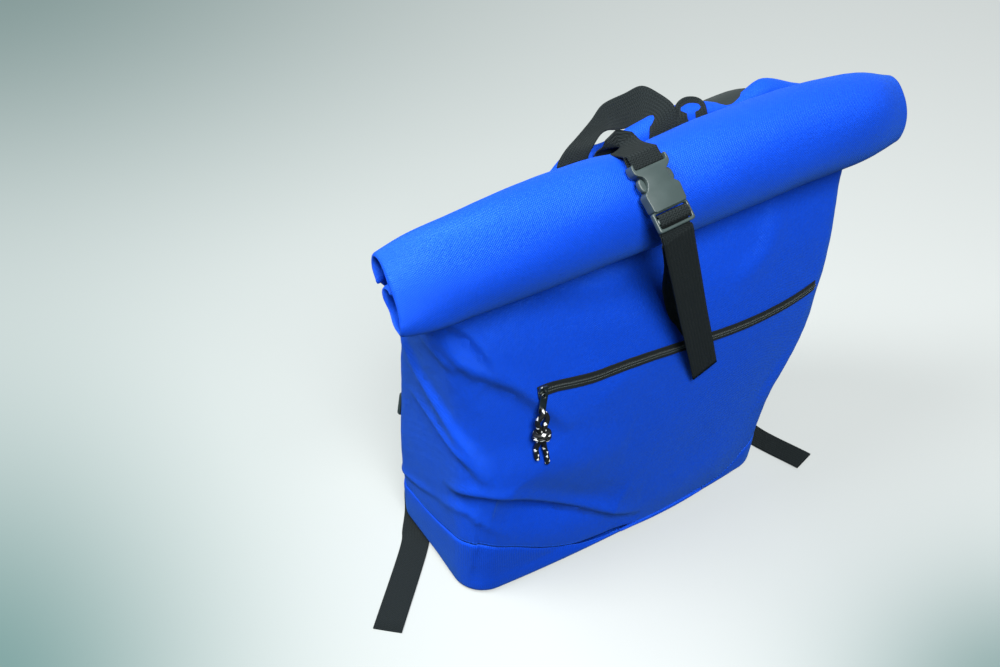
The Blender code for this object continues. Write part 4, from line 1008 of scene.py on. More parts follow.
@dataclass(frozen=True)
class BagCloth:
    """The body and the base tray in cloth, with their folds, seam and stitches."""

    form: BagForm = BagForm()
    columns: int = 300
    crowding: float = 0.42
    crowded: float = -0.22
    wall_rows: int = 108
    low_rows: float = 0.3
    turn_parts: int = 5
    inner_step: int = 5
    seam_gap: float = 0.0004
    seam_pinch: float = 0.0007
    seam_width: float = 0.0030
    stitch_pitch: float = 0.0034
    stitch_off: float = 0.0026
    stitch: float = 0.0023
    thread: float = 0.0006
    corner_x: float = -0.105
    corner_y: float = -0.005
    wall_top: float = 0.93
    fold_top: float = 1.04
    fold_fade: float = 0.020
    past_fade: float = 0.030
    ends_from: float = 0.150
    ends_fade: float = 0.070
    mouth: float = 0.235
    mouth_fade: float = 0.020
    mouth_ends: float = 0.0013
    calm_edge: float = 0.012

    # Waves of the wall, slow and fine, of the rolled cloth, its ends and its mouth, and of the base.
    SLOW, FINE = Wave(0.0007, 0.110, 11), Wave(0.00016, 0.024, 12)
    ROLLED, ENDS, MOUTH = Wave(0.0007, 0.130, 13), Wave(0.0007, 0.034, 14), Wave(0.0006, 0.026, 15)
    BASE = Wave(0.0004, 0.05, 21)

    @property
    def around(self) -> Array:
        """Shares of the half girth once round, denser at the front's left, with the roll's ends sampled."""
        share = np.linspace(-1, 1, self.columns + 1)[:-1]
        place = share - self.crowding / math.pi * np.sin(math.pi * (share - self.crowded))
        ends = np.array([-0.505, -0.5025, -0.5, -0.4975, -0.495])
        keep = np.abs(np.abs(place) - 0.5) > 0.0065
        return np.sort(np.concatenate([place[keep], ends, -ends]))

    def places(self) -> Array:
        """The same as signed shares from the front's middle, between -1 and 1."""
        return (self.around + 1) % 2 - 1

    def across(self) -> Array:
        """Distance round the cloth at each column, and once more where it closes, in metres."""
        around = self.around
        return np.append(around, around[0] + 2) * self.form.flat_half * 2

    def outside(self) -> tuple[Array, Array]:
        """The outer skin: wall rows from the seam up, then a smooth run through the roll's rings.

        Each point is moved along the surface's way out by the folds, by slow waves everywhere, by crumples
        towards the mouth and the roll's ends, and by the pinch of the seam.

        Returns:
            (rows, columns, 3) points and the distance up the cloth at each row.
        """
        form, place = self.form, self.places()
        seam = form.seam(place) + self.seam_gap
        top = self.wall_top * form.nip_height
        share = np.linspace(0, 1, self.wall_rows)[:, None]
        share = share + self.low_rows * share * (share - 1)
        wall = form.upper_wall(place, seam + (top - seam) * share)
        near = form.upper_wall(place, np.linspace(self.wall_top, 1, 3)[:, None] * form.nip_height)
        roll = smooth_path(np.concatenate([near, form.roll_rings(place)]), self.turn_parts)
        points = np.concatenate([wall[:-1], roll])
        way = lengths_along(points[:, np.argmin(np.abs(place))])
        height = np.where(points[..., 2] < top, points[..., 2], 0.0)
        rows = len(wall) - 1
        height[rows:] = top + (way - way[rows])[rows:, None]
        across = place * form.flat_half * 2
        rise = crease_rise(form, across, height)
        rise = rise * np.clip((self.fold_top * form.nip_height - height) / self.fold_fade, 0, 1)
        return self.dressed(points, across, height, rise, seam), way

    def dressed(self, points: Array, across: Array, height: Array, rise: Array, seam: Array) -> Array:
        """The plain skin moved along its own way out.

        Args:
            points: the plain skin.
            across, height: places on the cloth, in metres.
            rise: the folds' part.
            seam: the seam's height at each column.

        Returns:
            The moved points.
        """
        out = self.way_out(points)
        x, up = points[..., 0], height - self.form.nip_height
        past = np.clip(up / self.past_fade, 0, 1)
        ends = np.clip((np.abs(x) - self.ends_from) / self.ends_fade, 0, 1) ** 2
        inner = np.clip((up - self.mouth) / self.mouth_fade, 0, 1)
        rise = rise + self.SLOW.at(across, height) * (1 - past)
        rise = rise + self.FINE.at(across, height) * (1 - 0.6 * past)
        rise = rise + self.ROLLED.at(x, height * 2.2) * past * (1 - inner)
        rise = rise + self.ENDS.at(x, height * 0.6) * past * ends
        rise = rise + self.MOUTH.at(x, height) * inner * (1 + self.mouth_ends / self.MOUTH.rise * ends)
        return points + out * (rise - self.pinch(height, seam))[..., None]

    def pinch(self, height: Array, seam: Array) -> Array:
        """How far the seam's stitches draw the cloth in at this height."""
        return self.seam_pinch * np.exp(-(((height - seam) / self.seam_width) ** 2))

    def way_out(self, points: Array) -> Array:
        """Outward normals of a grid that closes along its columns."""
        around = np.roll(points, -1, axis=1) - np.roll(points, 1, axis=1)
        return unit(np.cross(around, np.gradient(points, axis=0)))

    def body(self, finish: Material) -> Object:
        """The outer skin and, a cloth's thickness inside it, a coarser one, joined at the seam and mouth.

        Args:
            finish: the cloth.

        Returns:
            The body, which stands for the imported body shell.
        """
        outer, way = self.outside()
        inner = outer - self.way_out(outer) * self.form.cloth
        keep = np.unique(np.append(np.arange(0, len(outer), self.inner_step), len(outer) - 1))[::-1]
        points = np.concatenate([outer, inner[keep]])
        v = np.concatenate([way, way[keep], way[:1]])
        faces = grid_faces(len(points), points.shape[1], True, True).tolist()
        piece = mesh_object("body_cloth", points, faces, grid_uv(self.across(), v), finish)
        return stand_for(piece, "body_shell")

    def lifted(self, points: Array) -> Array:
        """How far the left back corner is held off the floor by the webbing caught under it."""
        edge = self.form.base_edge
        out = np.clip((self.corner_x - points[..., 0]) / (2 * edge), 0, 1)
        back = np.clip((points[..., 1] - self.corner_y) / (5 * edge) + 1, 0, 1)
        return self.form.lift * ease(out) * ease(back)

    def base(self, finish: Material) -> Object:
        """The tray: rings of the section drawn in towards the bottom's middle, a rounded edge, then the wall.

        Args:
            finish: the cloth.

        Returns:
            The tray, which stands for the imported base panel.
        """
        form, place = self.form, self.places()
        edge = form.wall(place, np.full_like(place, form.base_edge))
        size = np.linalg.norm(edge[:, :2], axis=-1, keepdims=True)
        share = np.array([0.02, 0.3, 0.6, 0.85])[:, None, None]
        bottom = edge * share * (1, 1, 0)
        angle = np.radians(np.linspace(0, 90, 8))[:, None, None]
        rounded = edge * (1 - form.base_edge * (1 - np.sin(angle)) / size)
        height = np.broadcast_to(form.base_edge * (1 - np.cos(angle[..., 0])), rounded.shape[:2])
        rounded = np.concatenate([rounded[..., :2], height[..., None]], axis=-1)
        ground = np.concatenate([bottom, rounded])
        ground[..., 2] += self.lifted(ground)
        seam, start = form.seam(place), form.base_edge + self.lifted(edge)
        high = start + (seam - start) * np.linspace(0, 1, 15)[1:, None]
        wall = form.wall(place, high)
        out = self.way_out(wall)
        across = place * form.flat_half * 2
        free = np.clip((high - start) / self.calm_edge, 0, 1)
        rise = (crease_rise(form, across, high) + self.BASE.at(across, high)) * free
        skin = np.concatenate([ground, wall + out * (rise - self.pinch(high, seam))[..., None]])
        inner = skin - self.way_out(skin) * form.cloth
        inner[: len(ground), :, 2] = ground[..., 2] + form.cloth
        points = np.concatenate([skin, inner[::-1]])
        v = lengths_along(points[:, np.argmin(np.abs(place))])
        uv = np.concatenate([grid_uv(self.across(), v), np.zeros((2 * len(place), 2))])
        piece = mesh_object("base_cloth", points, tube_faces(*points.shape[:2]), uv, finish)
        return stand_for(faces_out(piece), "base_panel")

    def seam_stitches(self, skin: "Skin", finish: Material) -> Object:
        """A row of short stitches in blue thread, just above the seam all round the bag.

        Args:
            skin: the finished cloth, to lay them on.
            finish: the thread.

        Returns:
            The stitches.
        """
        place = np.linspace(-1, 1, 1200)
        line = self.form.wall(place, self.form.seam(place) + self.stitch_off)
        line = evenly(line, self.stitch_pitch)
        laid, out = skin.nearest(line)
        return stitches("base_seam_stitches", laid, out, self.stitch, self.thread, finish)


def stitches(
    name: str,
    line: Array,
    out: Array,
    length: float,
    thick: float,
    finish: Material,
    second: int = 0,
) -> Object:
    """Small rounded bars along a line, sunk a little into what they hold.

    Args:
        name: the piece's name.
        line: the middle of each stitch.
        out: the way out at each.
        length, thick: a stitch's size.
        finish: the thread.
        second: where a second row starts, if the line holds two.

    Returns:
        The stitches.
    """
    rows = np.split(line, [second]) if second else [line]
    run = np.concatenate([unit(np.gradient(row, axis=0)) for row in rows])
    side = unit(np.cross(out, run))
    frames = np.stack([run, side, np.cross(run, side)], axis=1)
    shape, faces = pill(6, length, thick, thick * 0.8)
    piece = scattered(name, shape, faces, line + out * thick * 0.15, frames, finish)
    return piece


class Skin:
    """The finished cloth, for laying other pieces on it."""

    def __init__(self, *pieces: Object) -> None:
        """Gathers the pieces' faces in one search tree."""
        points, faces, first = [], [], 0
        for piece in pieces:
            mesh = piece.data
            co = np.empty(len(mesh.vertices) * 3)
            mesh.vertices.foreach_get("co", co)
            quads = np.array([face.vertices[:] for face in mesh.polygons if len(face.vertices) == 4])
            points.append(co.reshape(-1, 3))
            faces.append(quads + first)
            first += len(mesh.vertices)
        self.tree = BVHTree.FromPolygons(np.concatenate(points).tolist(), np.concatenate(faces).tolist())

    def cast(self, start: Sequence[float], way: Sequence[float]) -> Array:
        """The first point of the cloth from the start along the way."""
        return np.array(self.tree.ray_cast(Vector(start), Vector(way))[0])

    def front(self, x: float, z: float) -> Array:
        """The cloth's foremost point at this place and height."""
        return self.cast((x, -1.0, z), (0.0, 1.0, 0.0))

    def nearest(self, line: Array) -> tuple[Array, Array]:
        """The cloth's nearest point and way out for each station of a line."""
        found = [self.tree.find_nearest(Vector(point)) for point in line]
        return np.array([hit[0] for hit in found]), np.array([hit[1] for hit in found])

    def valley(self, x: float, width: float, near: float = 0.0014, gap: float = 0.0004) -> float:
        """The highest point of the valley behind the roll under a band of this width, and a gap over it."""
        spots = [(x + a, b - VALLEY_REACH) for a in (-width / 2, 0, width / 2) for b in (-near, 0, near)]
        return max(self.cast((a, b, 1.0), (0, 0, -1))[2] for a, b in spots) + gap


# Webbing and other bands.


@dataclass(frozen=True)
class Place:
    """A place with X across, Y down the strap and Z out of the piece's face."""

    origin: Array
    axes: Array

    @staticmethod
    def at(origin: Array, across: Sequence[float], down: Sequence[float]) -> "Place":
        """A place at the origin: down is kept, across is turned square to it."""
        down = unit(np.array(down, float))
        out = unit(np.cross(across, down))
        return Place(np.array(origin, float), np.stack([np.cross(down, out), down, out]))

    def points(self, local: Array) -> Array:
        """Local points as points of the bag's frame."""
        return np.asarray(local, float) @ self.axes + self.origin

    def moved(self, local: Sequence[float]) -> "Place":
        """The same axes at a local point."""
        return Place(self.points(local), self.axes)


def edges_of(centres: Array, sides: Array, width: Array) -> tuple[Array, Array]:
    """A band's two edge lines, its width square to its run."""
    run = unit(np.gradient(centres, axis=0))
    sides = np.broadcast_to(np.array(sides, float), centres.shape)
    sides = unit(sides - run * np.sum(sides * run, axis=1)[:, None])
    half = sides * np.reshape(width, (-1, 1)) / 2
    return centres - half, centres + half


@dataclass(frozen=True)
class Webbing:
    """Flat woven webbing: its thickness, its rounded selvedges and how much its face swells."""

    width: float = 0.025
    thick: float = 0.0014
    swell: float = 0.00012
    edge_steps: int = 5
    face_steps: int = 9

    def profile(self) -> tuple[Array, Array, Array]:
        """The section, walked round: a half circle at each selvedge and a slightly swollen face between.

        Returns:
            Shares of the half width, the half circle's part of X, and Z, for each point.
        """
        arc = np.linspace(-math.pi / 2, math.pi / 2, self.edge_steps)
        face = np.linspace(1, -1, self.face_steps)[1:-1]
        wide = np.concatenate([np.ones_like(arc), face, -np.ones_like(arc), -face])
        edge = np.concatenate([np.cos(arc), 0 * face, -np.cos(arc), 0 * face])
        swell = self.swell * (1 - face**2)
        deep = self.thick / 2
        high = np.concatenate([np.sin(arc) * deep, deep + swell, -np.sin(arc) * deep, -deep - swell])
        return wide, edge, high

    def rings(self, near: Array, far: Array) -> Array:
        """The profile carried along between two edge lines.

        Args:
            near, far: the edge lines' points.

        Returns:
            (stations, points round, 3).
        """
        centre = (near + far) / 2
        half = np.linalg.norm(far - near, axis=1)[:, None, None] / 2
        side = unit(far - near)[:, None]
        out = unit(np.cross(unit(np.gradient(centre, axis=0)), side[:, 0]))[:, None]
        wide, edge, high = (values[:, None] for values in self.profile())
        deep = self.thick / 2
        return centre[:, None] + side * (wide * (half - deep) + edge * deep) + out * high

    def band(
        self, name: str, edges: tuple[Array, Array], finish: Material, node: str, slot: Slot = Slot.WEBBING
    ) -> Object:
        """A closed band between two edge lines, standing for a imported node."""
        return stand_for(tube_object(name, self.rings(*edges), finish), node)


def cord_rings(path: Array, radius: float, reference: Sequence[float], sides: int = 12) -> Array:
    """Circles along a path, square to it, that close as half circles over its last stretch at both ends.

    Args:
        path: the centreline.
        radius: the cord's.
        reference: a direction that the path never takes.
        sides: points round.

    Returns:
        (stations, sides, 3).
    """
    run = unit(np.gradient(path, axis=0))
    side = unit(np.cross(run, reference))[:, None]
    up = np.cross(run, side[:, 0])[:, None]
    turn = (np.arange(sides) * math.tau / sides)[:, None]
    way = lengths_along(path)
    end = np.clip(np.minimum(way, way[-1] - way) / radius, 0.02, 1)
    size = radius * np.sqrt(1 - (1 - end) ** 2)[:, None, None]
    return path[:, None] + size * (side * np.cos(turn) + up * np.sin(turn))


@dataclass(frozen=True)
class LadderWrap:
    """The webbing's way round a ladder's middle bar, and the ladder's sizes."""

    thick: float = 0.0040
    top_bar: float = 0.0026
    plug_bar: float = 0.0038
    slot: float = 0.0034
    wide_slot: float = 0.0058
    mid_bar: float = 0.0050
    return_slot: float = 0.0046
    lip: float = 0.0036
    lead: float = 0.0040
    webbing: float = 0.0014
    gap: float = 0.0004

    @property
    def strand(self) -> float:
        """Height of webbing over the middle plane where it lies on a bar."""
        return self.thick / 2 + self.webbing / 2 + 0.0005

    def way(self, top: float) -> Array:
        """Up behind both bars, over the bar, in through the return slot and down behind the lip.

        Args:
            top: where the middle bar starts, down from the place.

        Returns:
            Local points.
        """
        strand, mid, back = self.strand, self.mid_bar, -self.strand - self.webbing - self.gap
        turn = strand - self.thick / 2
        slot, low = mid + self.return_slot / 2, mid + self.return_slot + self.lip + self.lead
        rows = (
            (low, back),
            (mid + self.return_slot, back),
            (mid / 2, back),
            (-0.1 * turn, back + 0.5 * turn),
            (-1.2 * turn, -strand * 0.78),
            (-1.3 * turn, 0.0),
            (-1.2 * turn, strand * 0.64),
            (-0.1 * turn, strand),
            (mid / 2, strand * 1.04),
            (mid + 0.4 * turn, strand * 0.92),
            (slot - 0.2 * turn, self.thick / 8),
            (slot + 0.5 * turn, -self.thick / 2),
            (slot + 1.3 * turn, -strand * 0.95),
            (mid + self.return_slot + self.lip / 2, -strand),
            (low, -strand),
        )
        return np.array([(0.0, drop + top, high) for drop, high in rows])


@dataclass(frozen=True)
class Handles:
    """The haul handle, a band with mitred turns, and the small hang loop, both sewn behind the roll."""

    centre: float = -0.0230
    span: float = 0.0775
    back: float = 0.036
    rise: float = 0.0290
    loop_width: float = 0.010
    loop_centre: float = 0.0420
    loop_span: float = 0.0170
    loop_back: float = 0.0125
    loop_rise: float = 0.0075
    loop_tip: float = math.radians(43)
    parts: int = 8
    webbing: Webbing = Webbing()

    # Inner and outer edge from the left foot to the right: along the span, back and rise.
    HANDLE = (
        (-0.34, 0.00, 0.00, -0.66, 0.00, 0.00),
        (-0.33, 0.01, 0.14, -0.65, 0.06, 0.14),
        (-0.25, 0.10, 0.29, -0.54, 0.18, 0.32),
        (-0.11, 0.30, 0.36, -0.33, 0.45, 0.34),
        (0.00, 0.40, 0.34, -0.08, 0.73, 0.46),
        (0.11, 0.45, 0.24, 0.12, 0.94, 0.62),
        (0.22, 0.47, 0.18, 0.38, 1.00, 0.68),
        (0.34, 0.42, 0.20, 0.58, 1.00, 0.74),
        (0.40, 0.32, 0.27, 0.68, 0.70, 0.62),
        (0.39, 0.18, 0.27, 0.71, 0.30, 0.50),
        (0.36, 0.06, 0.18, 0.68, 0.08, 0.24),
        (0.34, 0.00, 0.00, 0.66, 0.00, 0.00),
    )
    # The loop's middle: along, back, rise, and the turn of its width from +X over the front in degrees.
    LOOP = (
        (-0.50, 0.00, 0.00, 0),
        (-0.48, 0.30, 0.55, 5),
        (-0.20, 0.78, 0.92, 40),
        (0.26, 1.00, 1.00, 90),
        (0.66, 0.80, 0.84, 140),
        (0.58, 0.30, 0.45, 172),
        (0.50, 0.00, 0.00, 180),
    )

    def haul(self, skin: Skin, finish: Material) -> Object:
        """The haul handle between its two edge lines, each foot on the valley's cloth.

        Args:
            skin: the bag's cloth, to lay it on.
            finish: the webbing.

        Returns:
            The handle.
        """
        rows = smooth_path(self.HANDLE, self.parts)
        edges = []
        for side in (rows[:, :3], rows[:, 3:]):
            x = self.centre + side[:, 0] * self.span
            roots = [skin.valley(x[end], self.webbing.width) for end in (0, -1)]
            root = np.interp(side[:, 0], (side[0, 0], side[-1, 0]), roots)
            y = side[:, 1] * self.back - VALLEY_REACH
            edges.append(np.stack([x, y, root + side[:, 2] * self.rise], axis=-1))
        return self.webbing.band("haul_webbing", tuple(edges), finish, "haul_handle")

    def loop(self, skin: Skin, finish: Material) -> Object:
        """The hang loop, its width turned as it goes round.

        Args:
            skin: the bag's cloth, to lay it on.
            finish: the webbing.

        Returns:
            The loop.
        """
        rows = smooth_path(self.LOOP, self.parts)
        x = self.loop_centre + rows[:, 0] * self.loop_span
        root = skin.valley(self.loop_centre, self.loop_span + 2 * self.loop_width)
        y, z = rows[:, 1] * self.loop_back - VALLEY_REACH, root + rows[:, 2] * self.loop_rise
        turn = np.radians(rows[:, 3])
        front = -np.sin(turn)[:, None] * (0, math.cos(self.loop_tip), math.sin(self.loop_tip))
        sides = np.cos(turn)[:, None] * (1, 0, 0) + front
        edges = edges_of(np.stack([x, y, z], axis=-1), sides, self.loop_width)
        return self.webbing.band("hang_webbing", edges, finish, "hang_loop")


@dataclass(frozen=True)
class Buckle:
    """The side-release buckle: a moulded socket, and a plug with two prongs and a ladder of bars."""

    centre: tuple[float, float, float] = (-0.0344, -0.1130, 0.3980)
    lean: float = math.radians(46)
    swing: float = math.radians(4)
    width: float = 0.030
    length: float = 0.035
    thick: float = 0.0084
    slot: float = 0.0262
    side_bar: float = 0.0021
    wall_edge: float = 0.00055
    bar_drop: float = 0.0006
    bar_sunk: float = 0.0008
    crown: float = 0.0008
    ladder: LadderWrap = LadderWrap(
        plug_bar=0.0014, slot=0.0022, mid_bar=0.0042, return_slot=0.0032, lip=0.0024
    )

    # The socket's right side from its upper end down, waisted for the buttons: shares of its half sizes.
    WAIST = (
        (0.80, 1.00),
        (0.91, 0.92),
        (0.93, 0.66),
        (0.96, 0.36),
        (0.92, 0.24),
        (0.76, 0.12),
        (0.63, -0.06),
        (0.60, -0.24),
        (0.68, -0.41),
        (0.86, -0.52),
        (0.98, -0.64),
        (1.00, -0.84),
        (0.96, -0.97),
    )
    # The buttons: their place and half sizes as shares of the socket's, their two faces and their edge.
    BUTTON_PLACE, BUTTON_SIZE = (0.78, -0.14), (0.17, 0.27)
    BUTTON_FACES, BUTTON_EDGE = (-0.0021, 0.0024), 0.0011
    # How square the ladder's corners are, and the powers of its wall's and its bars' sections.
    CORNER, WALL, BAR = 14, 0.55, 0.6

    @property
    def bar_at(self) -> float:
        """How far the bar for the upper strap is up from the middle."""
        return self.length / 2 - self.ladder.top_bar / 2 - self.bar_drop

    def place(self) -> Place:
        """The buckle's place: down leans with the roll's front, and both swing about the way out."""
        down = np.array([0.0, -math.sin(self.lean), -math.cos(self.lean)])
        out = np.array([0.0, -math.cos(self.lean), math.sin(self.lean)])
        across = np.cross(down, out)
        cos, sin = math.cos(self.swing), math.sin(self.swing)
        swung = [cos * axis + sin * np.cross(out, axis) for axis in (across, down)]
        return Place.at(self.centre, *swung)

    def plate(
        self,
        name: str,
        outline: Array,
        low: float,
        high: float,
        edge: float,
        finish: Material,
        crown: float = 0.0,
    ) -> Object:
        """An outline with rounded edges: copies of it move in by a quarter circle towards both faces.

        Args:
            name: the piece's name.
            outline: local X and Y, anticlockwise seen from outside or not.
            low, high: where its two faces are.
            edge: the edges' radius.
            finish: its material.
            crown: how far the outer face swells over its middle.

        Returns:
            The plate.
        """
        run = unit(np.roll(outline, -1, axis=0) - np.roll(outline, 1, axis=0))
        inward = np.stack([-run[:, 1], run[:, 0]], axis=-1)
        area = np.sum(outline[:, 0] * np.roll(outline[:, 1], -1) - outline[:, 1] * np.roll(outline[:, 0], -1))
        inward = inward * np.sign(area)
        turn = np.linspace(0, math.pi / 2, 6)
        inset = np.concatenate([(1 - np.sin(turn)) * edge, ((1 - np.sin(turn)) * edge)[::-1]])
        height = np.concatenate([low + edge - np.cos(turn) * edge, (high - edge + np.cos(turn) * edge)[::-1]])
        flat = outline + inward * inset[:, None, None]
        lift = crown * np.clip(1 - (flat[..., 0] / (self.width / 2)) ** 2, 0, 1)
        share = np.clip((height[:, None] - low) / (high - low), 0, 1)
        local = np.concatenate([flat, (height[:, None] + lift * share)[..., None]], axis=-1)
        return tube_object(name, self.place().points(local), finish)

    def bar(self, name: str, ends: Array, thick: float, finish: Material) -> Object:
        """A bar between two local points: a rounded square section carried along.

        Args:
            name: the piece's name.
            ends: its two ends, which lie level with each other.
            thick: the section's side.
            finish: its material.

        Returns:
            The bar.
        """
        path = ends[0] + (ends[1] - ends[0]) * np.linspace(0, 1, 12)[:, None]
        turn = (np.arange(20) * math.tau / 20)[:, None]
        run = unit(ends[1] - ends[0])
        round_x = squared(np.cos(turn), self.BAR) * thick / 2 * (-run[1], run[0], 0.0)
        round_z = squared(np.sin(turn), self.BAR) * thick / 2 * (0, 0, 1)
        rings = self.place().points(path[:, None] + round_x + round_z)
        return tube_object(name, rings, finish)

    def socket(self, finish: Material) -> list[Object]:
        """The socket's body with its waisted sides and cheeks, and the bar that the upper strap goes round.

        Args:
            finish: the plastic.

        Returns:
            The body, the bar and the two buttons.
        """
        half, end, slot = self.width / 2, self.length / 2, self.slot / 2
        right = smooth_path(np.array(self.WAIST) * (half, end), 6)
        cheek = ((0, -0.985), (0, -0.90), (0, -0.78), (-0.0008, -0.74))
        inner = [(slot + x, share * end) for x, share in cheek]
        across = np.linspace(slot - 0.003, 0, 8)[:, None] * (1, 0) + (0, -0.73 * end)
        half_line = np.concatenate([[(0, end), (0.4 * half, end)], right, inner, across])
        outline = np.concatenate([half_line, (half_line * (-1, 1))[::-1][1:-1]])
        deep = self.thick / 2
        body = self.plate("buckle_body", outline, -deep, deep, self.wall_edge, finish, self.crown)
        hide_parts("buckle_socket")
        reach = slot + self.bar_sunk
        ends = np.array([(hand * reach, -self.bar_at, -self.thick / 8) for hand in (-1, 1)])
        pieces = [body, self.bar("buckle_top_bar", ends, self.ladder.top_bar, finish)]
        turn = (np.arange(28) * math.tau / 28)[:, None]
        round_off = np.concatenate([np.cos(turn), np.sin(turn)], axis=-1) * self.BUTTON_SIZE
        for hand, side in ((-1, "left"), (1, "right")):
            outline = (round_off + np.array(self.BUTTON_PLACE) * (hand, 1)) * (half, end)
            name, (low, high) = "buckle_button_" + side, self.BUTTON_FACES
            pieces.append(self.plate(name, outline, low, high, self.BUTTON_EDGE, finish))
        return pieces

    def frame(
        self, name: str, place: Place, sizes: tuple[float, ...], finish: Material, node: str
    ) -> list[Object]:
        """A ladder: a rounded rectangular loop and the bar across it.

        Args:
            name: the loop's name.
            place: its place, at its top edge's middle.
            sizes: width, length, top bar, where the middle bar starts, side bar.
            finish: its material.
            node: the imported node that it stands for.

        Returns:
            The loop and the bar.
        """
        width, length, top, middle, side = sizes
        thick, lip, bar = self.ladder.thick, self.ladder.lip, self.ladder.mid_bar
        turn = np.linspace(0, math.tau, 96, endpoint=False)
        cos, sin = np.cos(turn), np.sin(turn)
        corner = (np.abs(cos) ** self.CORNER + np.abs(sin) ** self.CORNER) ** (-1 / self.CORNER)
        unit_x, unit_y = cos * corner, sin * corner
        outer = np.stack([unit_x * width / 2, length / 2 + unit_y * length / 2], axis=-1)
        open_y = (top + length - lip) / 2
        inner = np.stack([unit_x * (width / 2 - side), open_y + unit_y * (length - lip - top) / 2], axis=-1)
        wall = np.arange(16) * math.tau / 16
        share = 0.5 + 0.5 * squared(np.cos(wall), self.WALL)
        high = squared(np.sin(wall), self.WALL) * thick / 2
        flat = inner[None] + (outer - inner)[None] * share[:, None, None]
        local = np.concatenate([flat, np.broadcast_to(high[:, None, None], (*flat.shape[:2], 1))], axis=-1)
        faces = grid_faces(*local.shape[:2], True, True).tolist()
        uv = grid_uv(np.arange(len(turn) + 1) * 0.001, np.arange(len(wall) + 1) * 0.001)
        loop = faces_out(mesh_object(name, place.points(local), faces, uv, finish))
        stand_for(loop, node)
        reach = width / 2 - side / 2
        path = np.linspace(-reach, reach, 12)
        y = squared(np.cos(wall), self.BAR) * bar / 2 + middle + bar / 2
        local = np.stack(np.broadcast_arrays(path[:, None], y, high * 0.8), axis=-1)
        rung = tube_object(name + "_bar", place.points(local), finish)
        return [loop, rung]

    def plug(self, finish: Material) -> list[Object]:
        """The plug's ladder, its upper edge tucked a little into the socket."""
        ladder, tuck = self.ladder, 0.001
        middle = ladder.plug_bar + ladder.slot
        length = middle + ladder.mid_bar + ladder.return_slot + ladder.lip
        place = self.place().moved((0, self.length / 2 + ladder.gap - tuck, 0))
        sizes = (self.width, length + tuck, ladder.plug_bar, middle + tuck, self.side_bar)
        return self.frame("buckle_ladder", place, sizes, finish, "buckle_plug")


@dataclass(frozen=True)
class ClosingStrap:
    """The strap that closes the roll: from behind it over its crest to the buckle, and up from the front."""

    offset: float = -0.032
    anchor_x: float = 0.029
    anchor_height: float = 0.245
    end_x: float = 0.0500
    end_height: float = 0.183
    drape: float = 0.0008
    coil: float = 0.0014
    parts: int = 8
    webbing: Webbing = Webbing()
    buckle: Buckle = Buckle()

    # From its root to the buckle: across, reach towards the front and rise, as shares of the way.
    OVER = (
        (0.00, 0.00, 0.00),
        (0.00, 0.04, 0.25),
        (0.02, 0.15, 0.42),
        (0.14, 0.34, 0.57),
        (0.42, 0.57, 0.70),
        (0.74, 0.79, 0.85),
    )
    # Round the socket's bar: down and out from its middle, in radii of the turn.
    ROUND = (
        (-3.2, 0.90),
        (0.0, 1.15),
        (0.7, 1.00),
        (1.15, 0.0),
        (0.7, -1.00),
        (0.0, -1.15),
        (-2.2, -1.05),
        (-4.0, -0.65),
    )

    def upper(self, skin: Skin, finish: Material) -> Object:
        """From the valley over the roll and round the socket's bar.

        Args:
            skin: the bag's cloth, to lay it on.
            finish: the webbing.

        Returns:
            The strap.
        """
        place, ladder = self.buckle.place(), self.buckle.ladder
        root = np.array([self.offset, -VALLEY_REACH, skin.valley(self.offset, self.webbing.width)])
        turn = ladder.top_bar / 2 + self.webbing.thick / 2 + ladder.gap
        bar = (0.0, -self.buckle.bar_at, -self.buckle.thick / 8)
        end = place.points(np.insert(self.ROUND, 0, 0.0, axis=1) * turn + bar)
        points = root + np.array(self.OVER) * (end[0] - root)
        first = smooth_path(np.concatenate([points, end[:1]]), self.parts)[:-1]
        path = np.concatenate([first, smooth_path(end, 4)])
        share = np.clip(np.arange(len(path))[:, None] / len(first), 0, 1)
        sides = (1 - share) * (1.0, 0.0, 0.0) + share * place.axes[0]
        edges = edges_of(path, sides, self.webbing.width)
        return self.webbing.band("closing_webbing_upper", edges, finish, "closing_strap_upper")

    def lower(self, skin: Skin, finish: Material) -> Object:
        """From its anchor on the front up round the plug's bar and down to its loose end.

        Args:
            skin: the bag's cloth, to lay it on.
            finish: the webbing.

        Returns:
            The strap.
        """
        place, ladder = self.buckle.place(), self.buckle.ladder
        wrap = place.points(ladder.way(self.buckle.length / 2 + ladder.plug_bar + ladder.slot + ladder.gap))
        lift = self.drape + self.webbing.thick / 2
        fixed = []
        for rise, off in ((-0.5, 1.0), (0.0, 1.3), (0.5, 2.0)):
            x = self.anchor_x + rise * (wrap[0][0] - self.anchor_x) / 4
            fixed.append(skin.front(x, self.anchor_height + rise * self.webbing.width) - (0, off * lift, 0))
        for share, out in ((0.30, 0.22), (0.70, 0.72)):
            fixed.append(fixed[2] + (wrap[0] - fixed[2]) * (share, out, share))
        start = wrap[-1]
        layer = 2 * lift + self.webbing.thick + self.coil
        free = []
        for share in (0.12, 0.32, 0.55, 0.78, 1.0):
            x = start[0] + (self.end_x - start[0]) * share
            height = start[2] + (self.end_height - start[2]) * share
            cloth = skin.front(x, min(height, self.anchor_height))[1] - layer
            free.append(np.array([x, min(cloth, start[1] + (cloth - start[1]) * share), height]))
        parts = (
            smooth_path([*fixed, wrap[0]], self.parts)[:-1],
            smooth_path(wrap, 4)[:-1],
            smooth_path([wrap[-1], *free], self.parts),
        )
        edges = edges_of(np.concatenate(parts), place.axes[0], self.webbing.width)
        return self.webbing.band("closing_webbing_lower", edges, finish, "closing_strap_lower")


